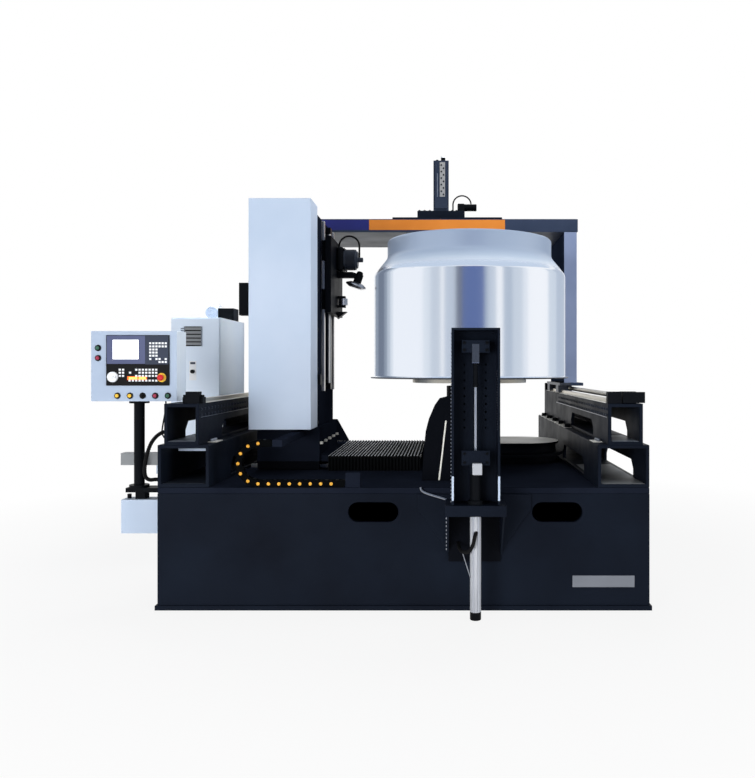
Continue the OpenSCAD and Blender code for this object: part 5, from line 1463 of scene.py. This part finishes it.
# %% [markdown]
# Bolts hold all of this down: big black ones on the ledge, bright ones at its foot, two long rows under
# each rail and eight on each carriage. They're copies of one bolt, in the sizes that each place needs.

# %% Bolts of the stands
LEDGE_BOLTS_Y = (1.462, 1.057, 0.655, 0.262, -0.12)
FOOT_BOLTS_Y = (-1.445, -1.40, -1.355)
CARRIAGE_BOLTS_Y = (0.56, 0.66, 0.76, 0.86)
RAIL_BOLTS_Y = [-1.60 + 0.075 * k for k in range(30)]
for side, mark, _ in SIDES:
    ledge_places = [(side * 1.303, y, LEDGE_TOP) for y in LEDGE_BOLTS_Y]
    bolt_row(mark + "_ledge_bolts", ledge_places, TO_TOP, black_paint, "bed", 0.026, 0.030)
    foot_places = [(side * 1.31, y, FOOT_TOP) for y in FOOT_BOLTS_Y]
    bolt_row(mark + "_foot_bolts", foot_places, TO_TOP, bolt_steel, "bed", 0.013, 0.016)
    for row, z in (("upper", 1.303), ("lower", 1.264)):
        rail_places = [(side * 1.33, y, z) for y in RAIL_BOLTS_Y]
        bolt_row("%s_%s_row" % (mark, row), rail_places, (-side, 0, 0), slate_paint, "bed",
                 0.009, 0.006)
    carriage_places = [(side * x, y, 1.437) for x in (1.345, 1.36) for y in CARRIAGE_BOLTS_Y]
    bolt_row(mark + "_carriage_bolts", carriage_places, TO_TOP, black_paint, gantry_body,
             0.011, 0.012)
print("bolt rows", 5 * len(SIDES))

# %% [markdown]
# Only the left stand has a bolted base under its stop block and a pale strip behind its window. They are
# single blocks, so they stand outside the loop.

# %% Left stand alone
STOP_BASE_TOP = 1.383
block("left_stop_base", (-1.447, -1.622, 1.3402), (-1.312, -1.556, STOP_BASE_TOP), 0.004, black_paint, "bed")
bolt_row("left_stop_bolts", [(x, -1.60, STOP_BASE_TOP) for x in (-1.437, -1.321)], TO_TOP, black_paint, "bed",
         0.012, 0.014)
block("left_light_strip", (-1.545, -1.41, 1.008), (-1.300, -1.40, 1.0495), 0.001, light_paint, "bed")
print("left stand dressed")

# %% [markdown]
# Bolts and a latch run down the column's edge, a near-black sheet of painted shade covers the bed rails
# under the column, and a comb of bright blocks stands along its foot beside the bellows. The foot's gusset
# is a triangular plate. Its slope could be pulled by hand, but a block cut by a plane has an exact slope,
# and the cut closes itself.

# %% Column details
COLUMN_RIGHT = -0.690
BOLTS_Z = (2.59, 2.486, 2.173, 1.87, 1.563, 1.156)
GUSSET_LOW = (COLUMN_RIGHT, 0.930)
GUSSET_HIGH = (-0.585, 1.120)
column_body = node_body["column_body"]
bolt_row("column_bolts", [(-0.7245, -0.69, z) for z in BOLTS_Z], TO_RIGHT, black_paint, column_body,
         0.013, 0.012)
# Painted shade: a near-black sheet before the bed rails under the column, where they stand in shadow.
block("column_shadow_sheet", (-1.166, -0.768, 0.800), (COLUMN_RIGHT, -0.7605, 0.862), 0.002, shade_paint,
      column_body)
block("column_latch", (-0.7255, -0.72, 1.445), (COLUMN_RIGHT, -0.66, 1.525), 0.005, black_paint, column_body)
comb_tooth = rounded_block("comb_tooth", (-0.001, -0.016, -0.010), (0.022, 0.016, 0.010), 0.003)
comb = copies("saddle_comb", comb_tooth, [moved(COLUMN_RIGHT, -0.735 + 0.21 * k, 1.0) for k in range(5)])
wear(comb, cream_steel, column_body)
gusset = block("saddle_gusset", (GUSSET_LOW[0], 0.180, GUSSET_LOW[1]),
               (GUSSET_HIGH[0], 0.200, GUSSET_HIGH[1]), 0.002, column_paint, column_body)
edit(gusset)
slope = (GUSSET_HIGH[1] - GUSSET_LOW[1], 0, GUSSET_HIGH[0] - GUSSET_LOW[0])
bpy.ops.mesh.bisect(plane_co=(GUSSET_LOW[0] + 0.004, 0.190, GUSSET_HIGH[1]), plane_no=slope, use_fill=True,
                    clear_outer=True)
leave_edit()
print("column dressed")

# %% [markdown]
# The cabinet's door has a louvred vent and a white plate for its isolator, and a round fan sits in the
# blower on top. Holes cut through the door would show an empty box, so the shade behind the vent is painted
# on a near-black sheet, with slats and rails before it. The fan's rings are all in one turned profile.

# %% Cabinet's vent, isolator plate and fan
VENT_X = (-1.907, -1.757)
VENT_Z = (1.757, 1.921)
FAN_AT = (-1.812, 0.225, 2.069)
door_body = node_body["cabinet_door"]
DOOR_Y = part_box("cabinet_door")[0][1]
# Painted shade: a near-black sheet for the shade behind the vent's slats.
block("vent_shadow_sheet", (VENT_X[0], DOOR_Y - 0.0015, VENT_Z[0]), (VENT_X[1], DOOR_Y, VENT_Z[1]), 0.0006,
      shade_paint, door_body)
slat = rounded_block("slat", (-0.070, -0.007, -0.0115), (0.070, 0, 0.0115), 0.003)
slats = copies("vent_slats", slat, [moved(-1.832, DOOR_Y - 0.0012, 1.776 + 0.0315 * k) for k in range(5)])
wear(slats, stone_paint, door_body)
rails = [rounded_block("vent_rail", (x, DOOR_Y - 0.009, VENT_Z[0]), (x + 0.008, DOOR_Y, VENT_Z[1]), 0.002)
         for x in (VENT_X[0], -1.765)]
wear(joined("vent_rails", rails), grey_paint, door_body)
block("isolator_plate", (-1.864, DOOR_Y - 0.002, 1.472), (-1.806, DOOR_Y, 1.632), 0.0008, white_plastic,
      door_body)
block("isolator_head", (-1.856, DOOR_Y - 0.004, 1.606), (-1.814, DOOR_Y - 0.001, 1.624), 0.001,
      grey_plastic, door_body)
fan_profile = [(0.050, -0.032), (0.055, -0.030), (0.055, 0.001), (0.051, 0.004), (0.045, 0.004),
               (0.043, -0.002), (0.034, -0.002), (0.032, 0.003), (0.027, 0.003), (0.025, -0.002),
               (0.013, -0.002), (0.011, 0.004), (0.001, 0.005)]
turning("blower_fan", fan_profile, pointing(TO_FRONT, FAN_AT), 40, light_paint, node_body["cabinet_body"])
print("cabinet dressed")

# %% [markdown]
# The curved guard has a bright hem, and a bright seam runs over the bracket's edge. Beads of metal like
# these could be modelled into the sheet, but a thin pipe along the edge catches light in the same way and
# leaves the sheet as it is.

# %% Hem and seam
guard_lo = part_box("front_guard")[0]
hem_points = ((0.167, 1.21), (0.152, 1.08), (0.135, 0.93), (0.119, 0.80))
hem_route = smooth_route([(guard_lo[0] + x, guard_lo[1] - 0.002, z) for x, z in hem_points], 20)
pipe("guard_hem_line", hem_route, 0.006, cream_steel, "bed")
seam_points = [(0.112, -1.668, 0.80), (0.12, -1.672, 0.778), (0.16, -1.674, 0.758), (0.28, -1.674, 0.722)]
pipe("bracket_seam", smooth_route(seam_points, 16), 0.007, bolt_steel, "bed")
print("hem and seam made")
